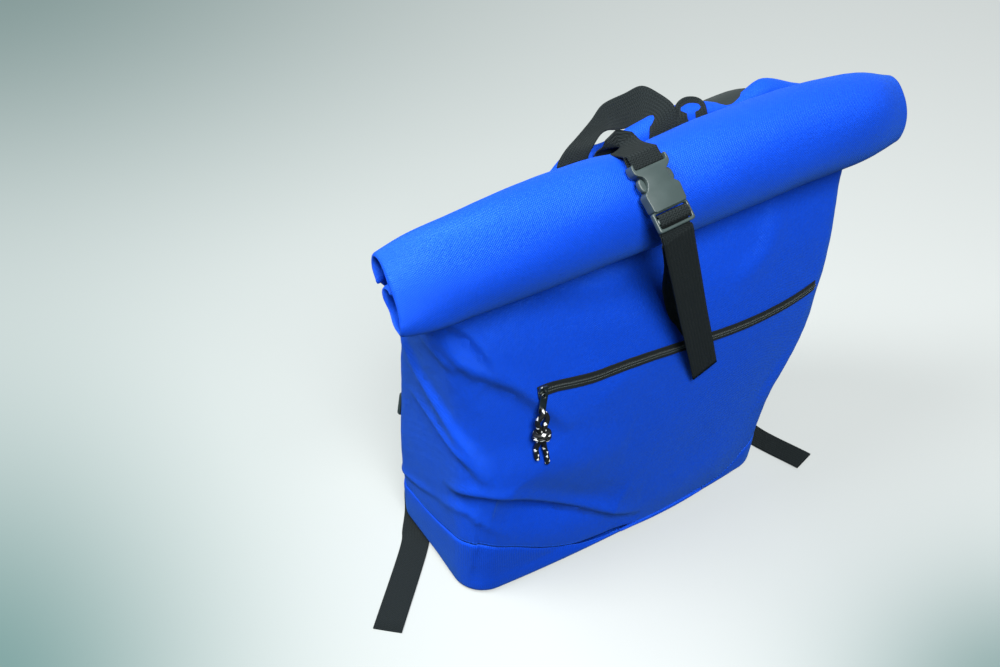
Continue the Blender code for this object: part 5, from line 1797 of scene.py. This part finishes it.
# A shoulder strap from its root: spread, drop, back, width and thickness, as shares.
STRAP = (
    (1.00, 0.024, 0.025, 0.80, 0.40),
    (1.00, 0.016, 0.068, 0.86, 0.50),
    (1.00, 0.036, 0.150, 0.94, 0.75),
    (1.00, 0.100, 0.285, 1.00, 1.0),
    (1.04, 0.260, 0.500, 1.00, 1.0),
    (1.10, 0.460, 0.740, 1.00, 1.0),
    (1.19, 0.660, 0.910, 1.00, 1.0),
    (1.36, 0.850, 0.990, 0.82, 1.0),
    (1.48, 0.940, 0.990, 0.56, 0.7),
    (1.51, 0.975, 0.980, 0.50, 0.2),
)
# The loose webbing from an adjuster to the floor: outwards, forwards and up in webbing widths, and its turn.
FREE_LEFT = (
    (-0.22, -0.06, 2.00, 0),
    (-0.34, -0.20, 1.00, -6),
    (-0.18, -0.26, 0.30, -22),
    (0.12, 0.10, 0.048, -36),
    (0.58, 0.98, 0.044, -38),
    (1.10, 1.76, 0.044, -38),
    (1.68, 2.60, 0.044, -41),
    (4.04, 5.15, 0.044, -42),
)
FREE_RIGHT = (
    (0.10, -0.14, 2.30, 0),
    (0.74, -0.18, 1.20, 0),
    (1.60, 0.28, 0.50, 10),
    (1.86, 1.36, 0.14, 8),
    (1.86, 2.56, 0.045, 0),
    (1.80, 4.38, 0.045, 4),
    (2.46, 6.66, 0.10, 16),
)


@dataclass(frozen=True)
class ShoulderStrap:
    """A padded strap from behind the roll, its adjuster, and the webbing from the base to its loose end."""

    hand: int
    rise: float
    root: float
    free: tuple[tuple[float, ...], ...]
    spread: float = 0.082
    drop: float = 0.260
    back: float = 0.083
    pad_width: float = 0.050
    pad_thick: float = 0.0070
    bead: float = 0.0013
    stitch: float = 0.0022
    stitch_pitch: float = 0.0034
    stitch_in: float = 0.0036
    stitch_level: float = 0.92
    thread: float = 0.0006
    tail: float = 0.010
    lower_x: float = 0.127
    lower_height: float = 0.030
    drape: float = 0.0008
    parts: int = 8
    webbing: Webbing = Webbing()
    ladder: LadderWrap = LadderWrap()

    # Powers of the pad's section across and through it, its quilting's rise, pitch and seed, the binding's
    # step and sides, and how many stations the binding and the stitches leave out at the top and the end.
    SECTION, QUILT = (0.5, 0.8), (0.05, 0.03, 31)
    BINDING, BOUND, SEWN = (0.003, 10), (3, -3), (4, -10)

    @property
    def side(self) -> str:
        """Left or right, as in the nodes' names."""
        return "left" if self.hand < 0 else "right"

    def line(self, skin: Skin) -> Array:
        """The pad's middle line, from the valley behind the roll down the back."""
        rows = np.array(STRAP)
        root = self.root - VALLEY_REACH
        x = self.hand * rows[:, 0] * self.spread
        top = skin.valley(x[0], 0.0) + self.rise
        return np.stack([x, root + rows[:, 2] * (self.back - root), top - rows[:, 1] * self.drop], axis=-1)

    def end_place(self, points: Array) -> Place:
        """The place at the pad's lower end, facing backwards."""
        place = Place.at(points[-1], (1, 0, 0), points[-1] - points[-2])
        return place if place.axes[2][1] > 0 else Place.at(points[-1], (-1, 0, 0), points[-1] - points[-2])

    def pad(self, skin: Skin, finish: Material, binding: Material) -> list[Object]:
        """The pad, a superellipse section carried down its line, with its binding and stitches.

        Args:
            skin: the bag's cloth.
            finish: the pad's cloth.
            binding: the finish of its binding.

        Returns:
            The pad, its binding and its stitches.
        """
        points = self.line(skin)
        place = self.end_place(points)
        path = smooth_path(points, self.parts)
        sizes = smooth_path(np.array(STRAP)[:, 3:], self.parts)
        run = unit(np.gradient(path, axis=0))
        share = np.linspace(0, 1, len(path))[:, None]
        side = (1 - share) * (1.0, 0.0, 0.0) + share * place.axes[0] * np.sign(place.axes[0][0])
        side = unit(side - run * np.sum(side * run, axis=1)[:, None])
        out = np.cross(run, side)
        half = np.maximum(sizes[:, 0] * self.pad_width, self.webbing.width) / 2
        deep = np.maximum(sizes[:, 1] * self.pad_thick, self.webbing.thick) / 2
        turn = np.arange(40) * math.tau / 40
        wide, high = squared(np.cos(turn), self.SECTION[0]), squared(np.sin(turn), self.SECTION[1])
        rise, pitch, seed = self.QUILT
        waves = Wave(rise, pitch, seed + self.hand)
        quilt = 1 + waves.at(lengths_along(path)[:, None], (wide * self.pad_width)[None])
        rings = path[:, None] + side[:, None] * (half[:, None] * wide)[..., None]
        rings = rings + out[:, None] * (deep[:, None] * high * quilt)[..., None]
        pad = tube_object("shoulder_pad_" + self.side, rings, finish)
        stand_for(pad, "shoulder_strap_" + self.side)
        edge = (half - self.bead / 2)[:, None]
        row = edge - self.stitch_in
        return [pad, *self.sewn(path, side * edge, side * row, out * deep[:, None], binding)]

    def sewn(self, path: Array, edge: Array, row: Array, out: Array, binding: Material) -> list[Object]:
        """The binding round the pad's edge and the two rows of stitches beside it.

        Args:
            path: the pad's middle line.
            edge, row: from each station of it to the pad's edge, and to the row of stitches.
            out: from each station to the pad's face.
            binding: their finish.

        Returns:
            The binding and the stitches.
        """
        line = np.concatenate([path - edge, (path + edge)[::-1]])[slice(*self.BOUND)]
        step, sides = self.BINDING
        rings = cord_rings(evenly(line, step), self.bead, (0, 0.3, 1), sides)
        bead = tube_object("pad_binding_" + self.side, rings, binding)
        laid = out * self.stitch_level
        rows = [evenly((path + hand * row + laid)[slice(*self.SEWN)], self.stitch_pitch) for hand in (-1, 1)]
        line = np.concatenate(rows)
        outs = unit(out[np.argmin(np.linalg.norm(line[:, None] - path, axis=-1), axis=1)])
        name = "pad_stitches_" + self.side
        thread = stitches(name, line, outs, self.stitch, self.thread, binding, len(rows[0]))
        return [bead, thread]

    def loop(self, skin: Skin, finish: Material) -> Object:
        """The webbing sewn in the pad's end, folded round the adjuster's top bar.

        Args:
            skin: the bag's cloth, to lay it on.
            finish: the webbing.

        Returns:
            The loop.
        """
        points = self.line(skin)
        place, strand = self.end_place(points), self.ladder.strand
        drop = self.tail / 2
        low = drop + strand + self.ladder.top_bar
        loop = (
            (drop, 0.3),
            (drop + strand, 1.0),
            (low, 1.03),
            (low + strand * 0.45, 0.55),
            (low + strand * 0.56, 0.0),
            (low + strand * 0.45, -0.55),
            (low, -1.03),
            (drop + strand, -1.0),
            (drop, -0.7),
            (-0.002, -0.25),
        )
        loop = place.points([(0.0, down, out * strand) for down, out in loop])
        path = smooth_path(np.concatenate([points[-2:], loop]), 5)
        edges = edges_of(path, place.axes[0], self.webbing.width)
        return self.webbing.band("strap_loop_" + self.side, edges, finish, "shoulder_strap_" + self.side)

    def adjuster_place(self, points: Array) -> Place:
        """The adjuster's place, its top bar in the loop."""
        top = self.tail / 2 + self.ladder.strand
        return self.end_place(points).moved((0, top, 0))

    def adjuster(self, skin: Skin, finish: Material) -> list[Object]:
        """The ladder-lock adjuster."""
        ladder = self.ladder
        place = self.adjuster_place(self.line(skin))
        bar, middle = ladder.top_bar, ladder.top_bar + ladder.wide_slot
        length = middle + ladder.mid_bar + ladder.return_slot + ladder.lip
        sizes = (self.webbing.width + 2 * ladder.gap + 2 * bar, length, bar, middle, bar)
        return Buckle().frame("adjuster_" + self.side, place, sizes, finish, "strap_adjuster_" + self.side)

    def lower(self, skin: Skin, finish: Material) -> Object:
        """From the base's back through the adjuster and down to the floor.

        Args:
            skin: the bag's cloth, to lay it on.
            finish: the webbing.

        Returns:
            The webbing.
        """
        ladder = self.ladder
        place = self.adjuster_place(self.line(skin))
        wrap = place.points(ladder.way(ladder.top_bar + ladder.wide_slot))
        lift = (0.0, self.drape + self.webbing.thick / 2, 0.0)
        fixed = []
        for rise in (-0.5, 0.0, 0.5):
            height = self.lower_height + rise * self.webbing.width
            fixed.append(skin.cast((self.hand * self.lower_x, 1.0, height), (0, -1, 0)) + lift)
        start = np.array([wrap[-1][0], wrap[-1][1], 0.0])
        wide = self.webbing.width
        rows = np.array(self.free) * (self.hand * wide, -wide, wide, 1)
        rows[:, :3] += start
        free = smooth_path(np.concatenate([[(*wrap[-1], 0.0)], rows]), self.parts)
        first = smooth_path([*fixed, wrap[0]], self.parts)[:-1]
        wrap = smooth_path(wrap, 4)[:-1]
        turn = np.radians(free[:, 3])
        level = np.stack([np.cos(turn), np.sin(turn), np.zeros(len(turn))], axis=-1)
        flat, across = np.tile((1.0, 0.0, 0.0), (len(first), 1)), np.tile(place.axes[0], (len(wrap), 1))
        sides = np.concatenate([flat, across, level])
        path = np.concatenate([first, wrap, free[:, :3]])
        edges = edges_of(path, sides, self.webbing.width)
        return self.webbing.band("strap_webbing_" + self.side, edges, finish, "lower_webbing_" + self.side)


# The zip cord's two strands in millimetres, from the puller's rim down to each loose end, as in the solids.
FRONT_STRAND = (
    (-105.4, -89.4, 213.6), (-105.6, -91.2, 212.5), (-107.2, -92.1, 209.3), (-109.2, -91.3, 206.1),
    (-110.0, -90.2, 202.7), (-109.3, -89.5, 199.2), (-107.9, -89.3, 195.6), (-107.0, -89.3, 192.0),
    (-106.9, -89.3, 188.4), (-106.9, -89.4, 184.7), (-106.9, -89.0, 181.1), (-107.5, -87.9, 177.6),
    (-108.1, -87.0, 174.1), (-108.4, -86.7, 170.5), (-108.3, -87.1, 166.9), (-107.9, -87.5, 163.3),
    (-107.4, -88.0, 159.7),
)
BACK_STRAND = (
    (-105.4, -89.4, 213.6), (-105.2, -87.6, 212.5), (-104.4, -87.1, 209.4), (-102.0, -88.4, 206.5),
    (-100.6, -89.1, 203.2), (-100.9, -89.5, 199.6), (-102.4, -89.7, 196.0), (-103.6, -89.9, 192.5),
    (-103.7, -89.9, 188.8), (-103.7, -90.0, 185.2), (-103.6, -89.6, 181.5), (-103.1, -88.8, 178.0),
    (-102.3, -88.2, 174.5), (-101.5, -87.9, 170.9), (-100.8, -88.0, 167.3), (-100.2, -88.4, 163.7),
    (-99.7, -88.7, 160.1), (-99.5, -89.1, 156.5), (-99.6, -89.4, 152.8),
)


@dataclass(frozen=True)
class ZipCord:
    """The cord looped through the zip puller, tied in an overhand knot with two loose ends."""

    thick: float = 0.0042
    step: float = 0.0008
    knot_turns: float = 2.2
    knot_centre: tuple[float, float, float] = (-0.1053, -0.0897, 0.1877)
    knot_wide: float = 0.0058
    knot_deep: float = 0.0040
    knot_pitch: float = 0.0030

    def make(self, finish: Material) -> list[Object]:
        """Both strands as round cords on their routes, and the knot as a wound helix round them.

        Args:
            finish: the braid.

        Returns:
            The two strands and the knot.
        """
        turns = np.linspace(0, self.knot_turns, 60)
        angle = turns * math.tau
        helix = np.stack([np.sin(angle), -np.cos(angle), turns - self.knot_turns / 2], axis=-1)
        helix = helix * (self.knot_wide, self.knot_deep, self.knot_pitch) + self.knot_centre
        rings = cord_rings(evenly(helix, self.step), self.thick / 2, (0, 0, 1))
        knot = stand_for(tube_object("pull_cord_wound", rings, finish), "pull_cord_knot")
        pieces = [knot]
        for name, route in (("front", FRONT_STRAND), ("back", BACK_STRAND)):
            line = evenly(smooth_path(np.array(route) / 1000, 6), self.step)
            rings = cord_rings(line, self.thick / 2, (1, 0, 0))
            strand = stand_for(tube_object("pull_cord_" + name, rings, finish), "pull_cord")
            pieces.append(strand)
        return pieces


@dataclass(frozen=True)
class Zipper:
    """The front pocket's zipper: two tapes, the coil with its stitching, the slider and its puller."""

    height: float = 0.2145
    drop: float = 0.0135
    left: float = -0.107
    right: float = 0.176
    step: float = 0.0020
    coil_width: float = 0.0040
    coil_thick: float = 0.0014
    tape_width: float = 0.0030
    gap: float = 0.0004
    drape: float = 0.0008
    tooth_pitch: float = 0.0013
    tooth_high: float = 0.0012
    row_off: float = 0.0011
    stitch_pitch: float = 0.0016
    stitch: float = 0.0011
    thread: float = 0.0004
    upturn: float = 0.7
    sag: float = 0.0070
    sag_at: float = 0.18
    sag_reach: float = 0.11
    tape: Webbing = Webbing(0.003, 0.0008, 0.0, 5, 5)
    bed: Webbing = Webbing(0.004, 0.0010, 0.0, 5, 5)

    def line(self, skin: Skin, up: float, lift: float) -> Array:
        """A line along the zipper, laid on the cloth: half a cosine that falls to the right, less its sag.

        The line turns up a little at its right end by a steep power.

        Args:
            skin: the bag's cloth.
            up: how far the line lies above the zipper's middle.
            lift: how far it lies off the cloth.

        Returns:
            Its points.
        """
        x = np.linspace(self.left, self.right, round((self.right - self.left) / self.step) + 1)
        share = (x - self.left) / (self.right - self.left)
        slack = self.sag * np.exp(-(((share - self.sag_at) / self.sag_reach) ** 2))
        fall = np.cos(math.pi * share) + self.upturn * share**6
        z = self.height + self.drop * fall - slack + up
        return np.array([skin.front(a, b) - (0.0, lift, 0.0) for a, b in zip(x, z)])

    def tapes(self, skin: Skin, finish: Material) -> list[Object]:
        """The two tapes and the narrow bed under the coil.

        Args:
            skin: the bag's cloth.
            finish: the tapes' cloth.

        Returns:
            The upper tape, the lower one and the bed.
        """
        half = self.coil_width / 2
        near, far = half + self.gap / 4, half + self.gap / 4 + self.tape_width
        lift = self.drape + self.tape.thick / 2
        pieces = []
        for name, node, low, high, form in (
            ("zip_tape_upper", "zipper_tape_upper", near, far, self.tape),
            ("zip_tape_lower", "zipper_tape_lower", -far, -near, self.tape),
            ("zip_bed", "zipper_coil", -half, half, self.bed),
        ):
            edges = (self.line(skin, low, lift), self.line(skin, high, lift))
            pieces.append(form.band(name, edges, finish, node, Slot.TAPE))
        return pieces

    def coil(self, skin: Skin, teeth: Material, thread: Material) -> list[Object]:
        """The coil's turns across the bed, and the two rows of stitches that hold it.

        Args:
            skin: the bag's cloth.
            teeth: the coil's plastic.
            thread: the stitches' thread.

        Returns:
            The coil and the two rows.
        """
        middle = evenly(self.line(skin, 0.0, self.drape + self.coil_thick * 0.75), self.tooth_pitch)
        run = unit(np.gradient(middle, axis=0))
        side = unit(np.cross(run, (0.0, -1.0, 0.0)))
        frames = np.stack([side, run, np.cross(side, run)], axis=1)
        shape, faces = pill(8, self.coil_width * 0.92, self.tooth_pitch * 0.80, self.tooth_high)
        coil = faces_out(scattered("zip_teeth", shape, faces, middle, frames, teeth))
        pieces = [coil]
        for name, up in (("upper", self.row_off), ("lower", -self.row_off)):
            row = self.line(skin, up, self.drape + self.coil_thick + self.thread / 2)
            row = evenly(row, self.stitch_pitch)
            outs = unit(np.tile((0.0, -1.0, 0.1), (len(row), 1)))
            name = "zip_stitches_" + name
            pieces.append(stitches(name, row, outs, self.stitch, self.thread, thread))
        return pieces


# The studio.


@dataclass(frozen=True)
class Lamp:
    """A soft square light that looks at a point."""

    name: str
    place: tuple[float, float, float]
    aim: tuple[float, float, float]
    size: float
    power: float

    def hang(self) -> None:
        """Puts the light in the scene."""
        data = bpy.data.lights.new(self.name, "AREA")
        data.size, data.energy = self.size, self.power
        light = bpy.data.objects.new(self.name, data)
        light.location = self.place
        way = Vector(self.aim) - Vector(self.place)
        light.rotation_euler = way.to_track_quat("-Z", "Y").to_euler()
        bpy.context.scene.collection.objects.link(light)


@dataclass(frozen=True)
class Studio:
    """The camera at the photograph's angle, the pale floor and the soft lights."""

    eye: tuple[float, float, float] = (-0.47075039, -0.6273253, 0.81485665)
    right: tuple[float, float, float] = (0.84980639, -0.52704516, -0.00724591)
    up: tuple[float, float, float] = (0.33739928, 0.53335752, 0.77568774)
    back: tuple[float, float, float] = (-0.40495781, -0.66162917, 0.63107529)
    focal_pixels: float = 1189.1554
    frame_pixels: float = 1000.0
    sensor: float = 36.0
    floor: float = 14.0
    own_light: float = 0.49
    lit: float = 0.28

    PALE, SHADE = (0.82, 0.86, 0.85), (0.19, 0.31, 0.30)
    BELOW, ABOVE = (0.05, 0.09, 0.11), (0.42, 0.47, 0.47)
    LAMPS = (
        Lamp("key", (-0.80, 0.12, 1.45), (-0.1, -0.05, 0.3), 0.6, 35.0),
        Lamp("fill", (-0.45, -1.35, 1.75), (0.0, -0.05, 0.2), 0.7, 68.0),
    )
    # Corners of the sheet where the light fades: u, v, reach in both, and depth.
    CORNERS = (
        (-0.471, 0.331, 0.437, 0.240, 0.84),
        (-0.454, -0.325, 0.260, 0.290, 1.05),
        (0.437, -0.308, 0.168, 0.126, 0.90),
    )

    def camera(self) -> Object:
        """The camera, from its own three axes."""
        data = bpy.data.cameras.new("camera")
        data.sensor_width = self.sensor
        data.lens = self.focal_pixels * self.sensor / self.frame_pixels
        data.clip_start = 0.01
        camera = bpy.data.objects.new("camera", data)
        turn = Matrix((self.right, self.up, self.back)).transposed().to_4x4()
        camera.matrix_world = Matrix.Translation(self.eye) @ turn
        bpy.context.scene.collection.objects.link(camera)
        bpy.context.scene.camera = camera
        return camera

    def floor_finish(self) -> Material:
        """A pale matt sheet whose lit patch fades towards three corners, in the floor's own space.

        Each corner's shade is a bell over places u and v, which are the floor's X and Y divided by their
        distance from the eye, so that the patch has straight sides as a lit sheet does. Part of the
        sheet's light is its own, as on a light table, which keeps the bag's shadow pale.

        Returns:
            The material.
        """
        graph = Graph("studio_sheet")
        split = graph.add("ShaderNodeSeparateXYZ")
        graph.put(split.inputs[0], graph.add("ShaderNodeTexCoord").outputs["Object"])

        def along(axis: Sequence[float]) -> Socket:
            """Distance of a floor point from the eye along an axis."""
            start = -sum(a * b for a, b in zip(axis, self.eye))
            near = graph.math("MULTIPLY_ADD", split.outputs[0], axis[0], start)
            return graph.math("MULTIPLY_ADD", split.outputs[1], axis[1], near)

        deep = graph.math("MAXIMUM", graph.math("MULTIPLY", along(self.back), -1.0), 0.05)
        u, v = graph.math("DIVIDE", along(self.right), deep), graph.math("DIVIDE", along(self.up), deep)
        shade = 0.0
        for corner in self.CORNERS:
            off_u, off_v = (
                graph.math("DIVIDE", graph.math("SUBTRACT", place, corner[i]), corner[i + 2])
                for i, place in enumerate((u, v))
            )
            far = graph.math("MULTIPLY_ADD", off_u, off_u, graph.math("MULTIPLY", off_v, off_v))
            bell = graph.math("EXPONENT", graph.math("MULTIPLY", far, -1.0))
            shade = graph.math("MULTIPLY_ADD", bell, corner[4], shade)
        tone = graph.mix(shade, rgba(self.PALE), rgba(self.SHADE))
        graph.set(Base_Color=graph.mix(self.lit, rgba((0, 0, 0)), tone), Roughness=0.9)
        graph.set(Emission_Color=tone, Emission_Strength=self.own_light, Specular_IOR_Level=0.0)
        return graph.material

    def sheet(self) -> Object:
        """The floor under the bag."""
        half = self.floor / 2
        mesh = bpy.data.meshes.new("studio_floor")
        corners = [(-half, -half, 0.0), (half, -half, 0.0), (half, half, 0.0), (-half, half, 0.0)]
        mesh.from_pydata(corners, [], [(0, 1, 2, 3)])
        mesh.materials.append(self.floor_finish())
        floor = bpy.data.objects.new("studio_floor", mesh)
        bpy.context.scene.collection.objects.link(floor)
        floor.visible_diffuse = False
        floor.visible_glossy = False
        floor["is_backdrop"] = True
        return floor

    def lights(self) -> None:
        """An overhead light from behind the left, a front fill, and a surround that is dark below."""
        for lamp in self.LAMPS:
            lamp.hang()
        world = bpy.data.worlds.new("surround")
        world.use_nodes = True
        tree = world.node_tree
        split = tree.nodes.new("ShaderNodeSeparateXYZ")
        ramp = tree.nodes.new("ShaderNodeValToRGB")
        tree.links.new(tree.nodes.new("ShaderNodeTexCoord").outputs["Generated"], split.inputs[0])
        tree.links.new(split.outputs[2], ramp.inputs[0])
        tree.links.new(ramp.outputs[0], tree.nodes["Background"].inputs["Color"])
        low, high = ramp.color_ramp.elements
        low.position, low.color = 0.0, rgba(self.BELOW)
        high.position, high.color = 0.8, rgba(self.ABOVE)
        bpy.context.scene.world = world
        bpy.context.scene.view_settings.view_transform = "Standard"


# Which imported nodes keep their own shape, and the finish that they get.
KEPT_NODES = {"zipper_slider": METAL, "zipper_puller": METAL}


def report(*pieces: Object) -> None:
    """Logs each piece with its size in faces."""
    for piece in pieces:
        log.info("%s: %d faces", piece.name, len(piece.data.polygons))


def main() -> None:
    """Builds the studio, the cord, the cloth and everything sewn to it, in order."""
    logging.basicConfig(level=logging.INFO, format="%(name)s: %(message)s", stream=sys.stdout)
    before = [corner.copy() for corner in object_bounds()]
    studio = Studio()
    studio.camera()
    report(*ZipCord().make(CORD.make()))
    studio.sheet()
    studio.lights()

    cloth, webbing, binding = CLOTH.make(), WEBBING.make(), BINDING.make()
    plastic = PLASTIC.make()
    bag = BagCloth()
    body, base = bag.body(cloth), bag.base(cloth)
    skin = Skin(body, base)
    report(body, base, bag.seam_stitches(skin, THREAD.make()))

    handles, closing = Handles(), ClosingStrap()
    report(handles.haul(skin, webbing), handles.loop(skin, webbing))
    report(closing.upper(skin, webbing), closing.lower(skin, webbing))
    report(*closing.buckle.socket(plastic), *closing.buckle.plug(plastic))

    zipper = Zipper()
    report(*zipper.tapes(skin, TAPE.make()), *zipper.coil(skin, TEETH.make(), ZIP_THREAD.make()))
    for name, finish in KEPT_NODES.items():
        mesh = bpy.data.objects[name].data
        mesh.materials.clear()
        mesh.materials.append(bpy.data.materials.get(finish.name) or finish.make())

    padding = PADDING.make()
    for strap in (ShoulderStrap(-1, -0.0110, 0.0065, FREE_LEFT), ShoulderStrap(1, 0.0050, 0.0, FREE_RIGHT)):
        report(*strap.pad(skin, padding, binding), strap.loop(skin, webbing))
        report(*strap.adjuster(skin, plastic), strap.lower(skin, webbing))


if __name__ == "__main__":
    main()
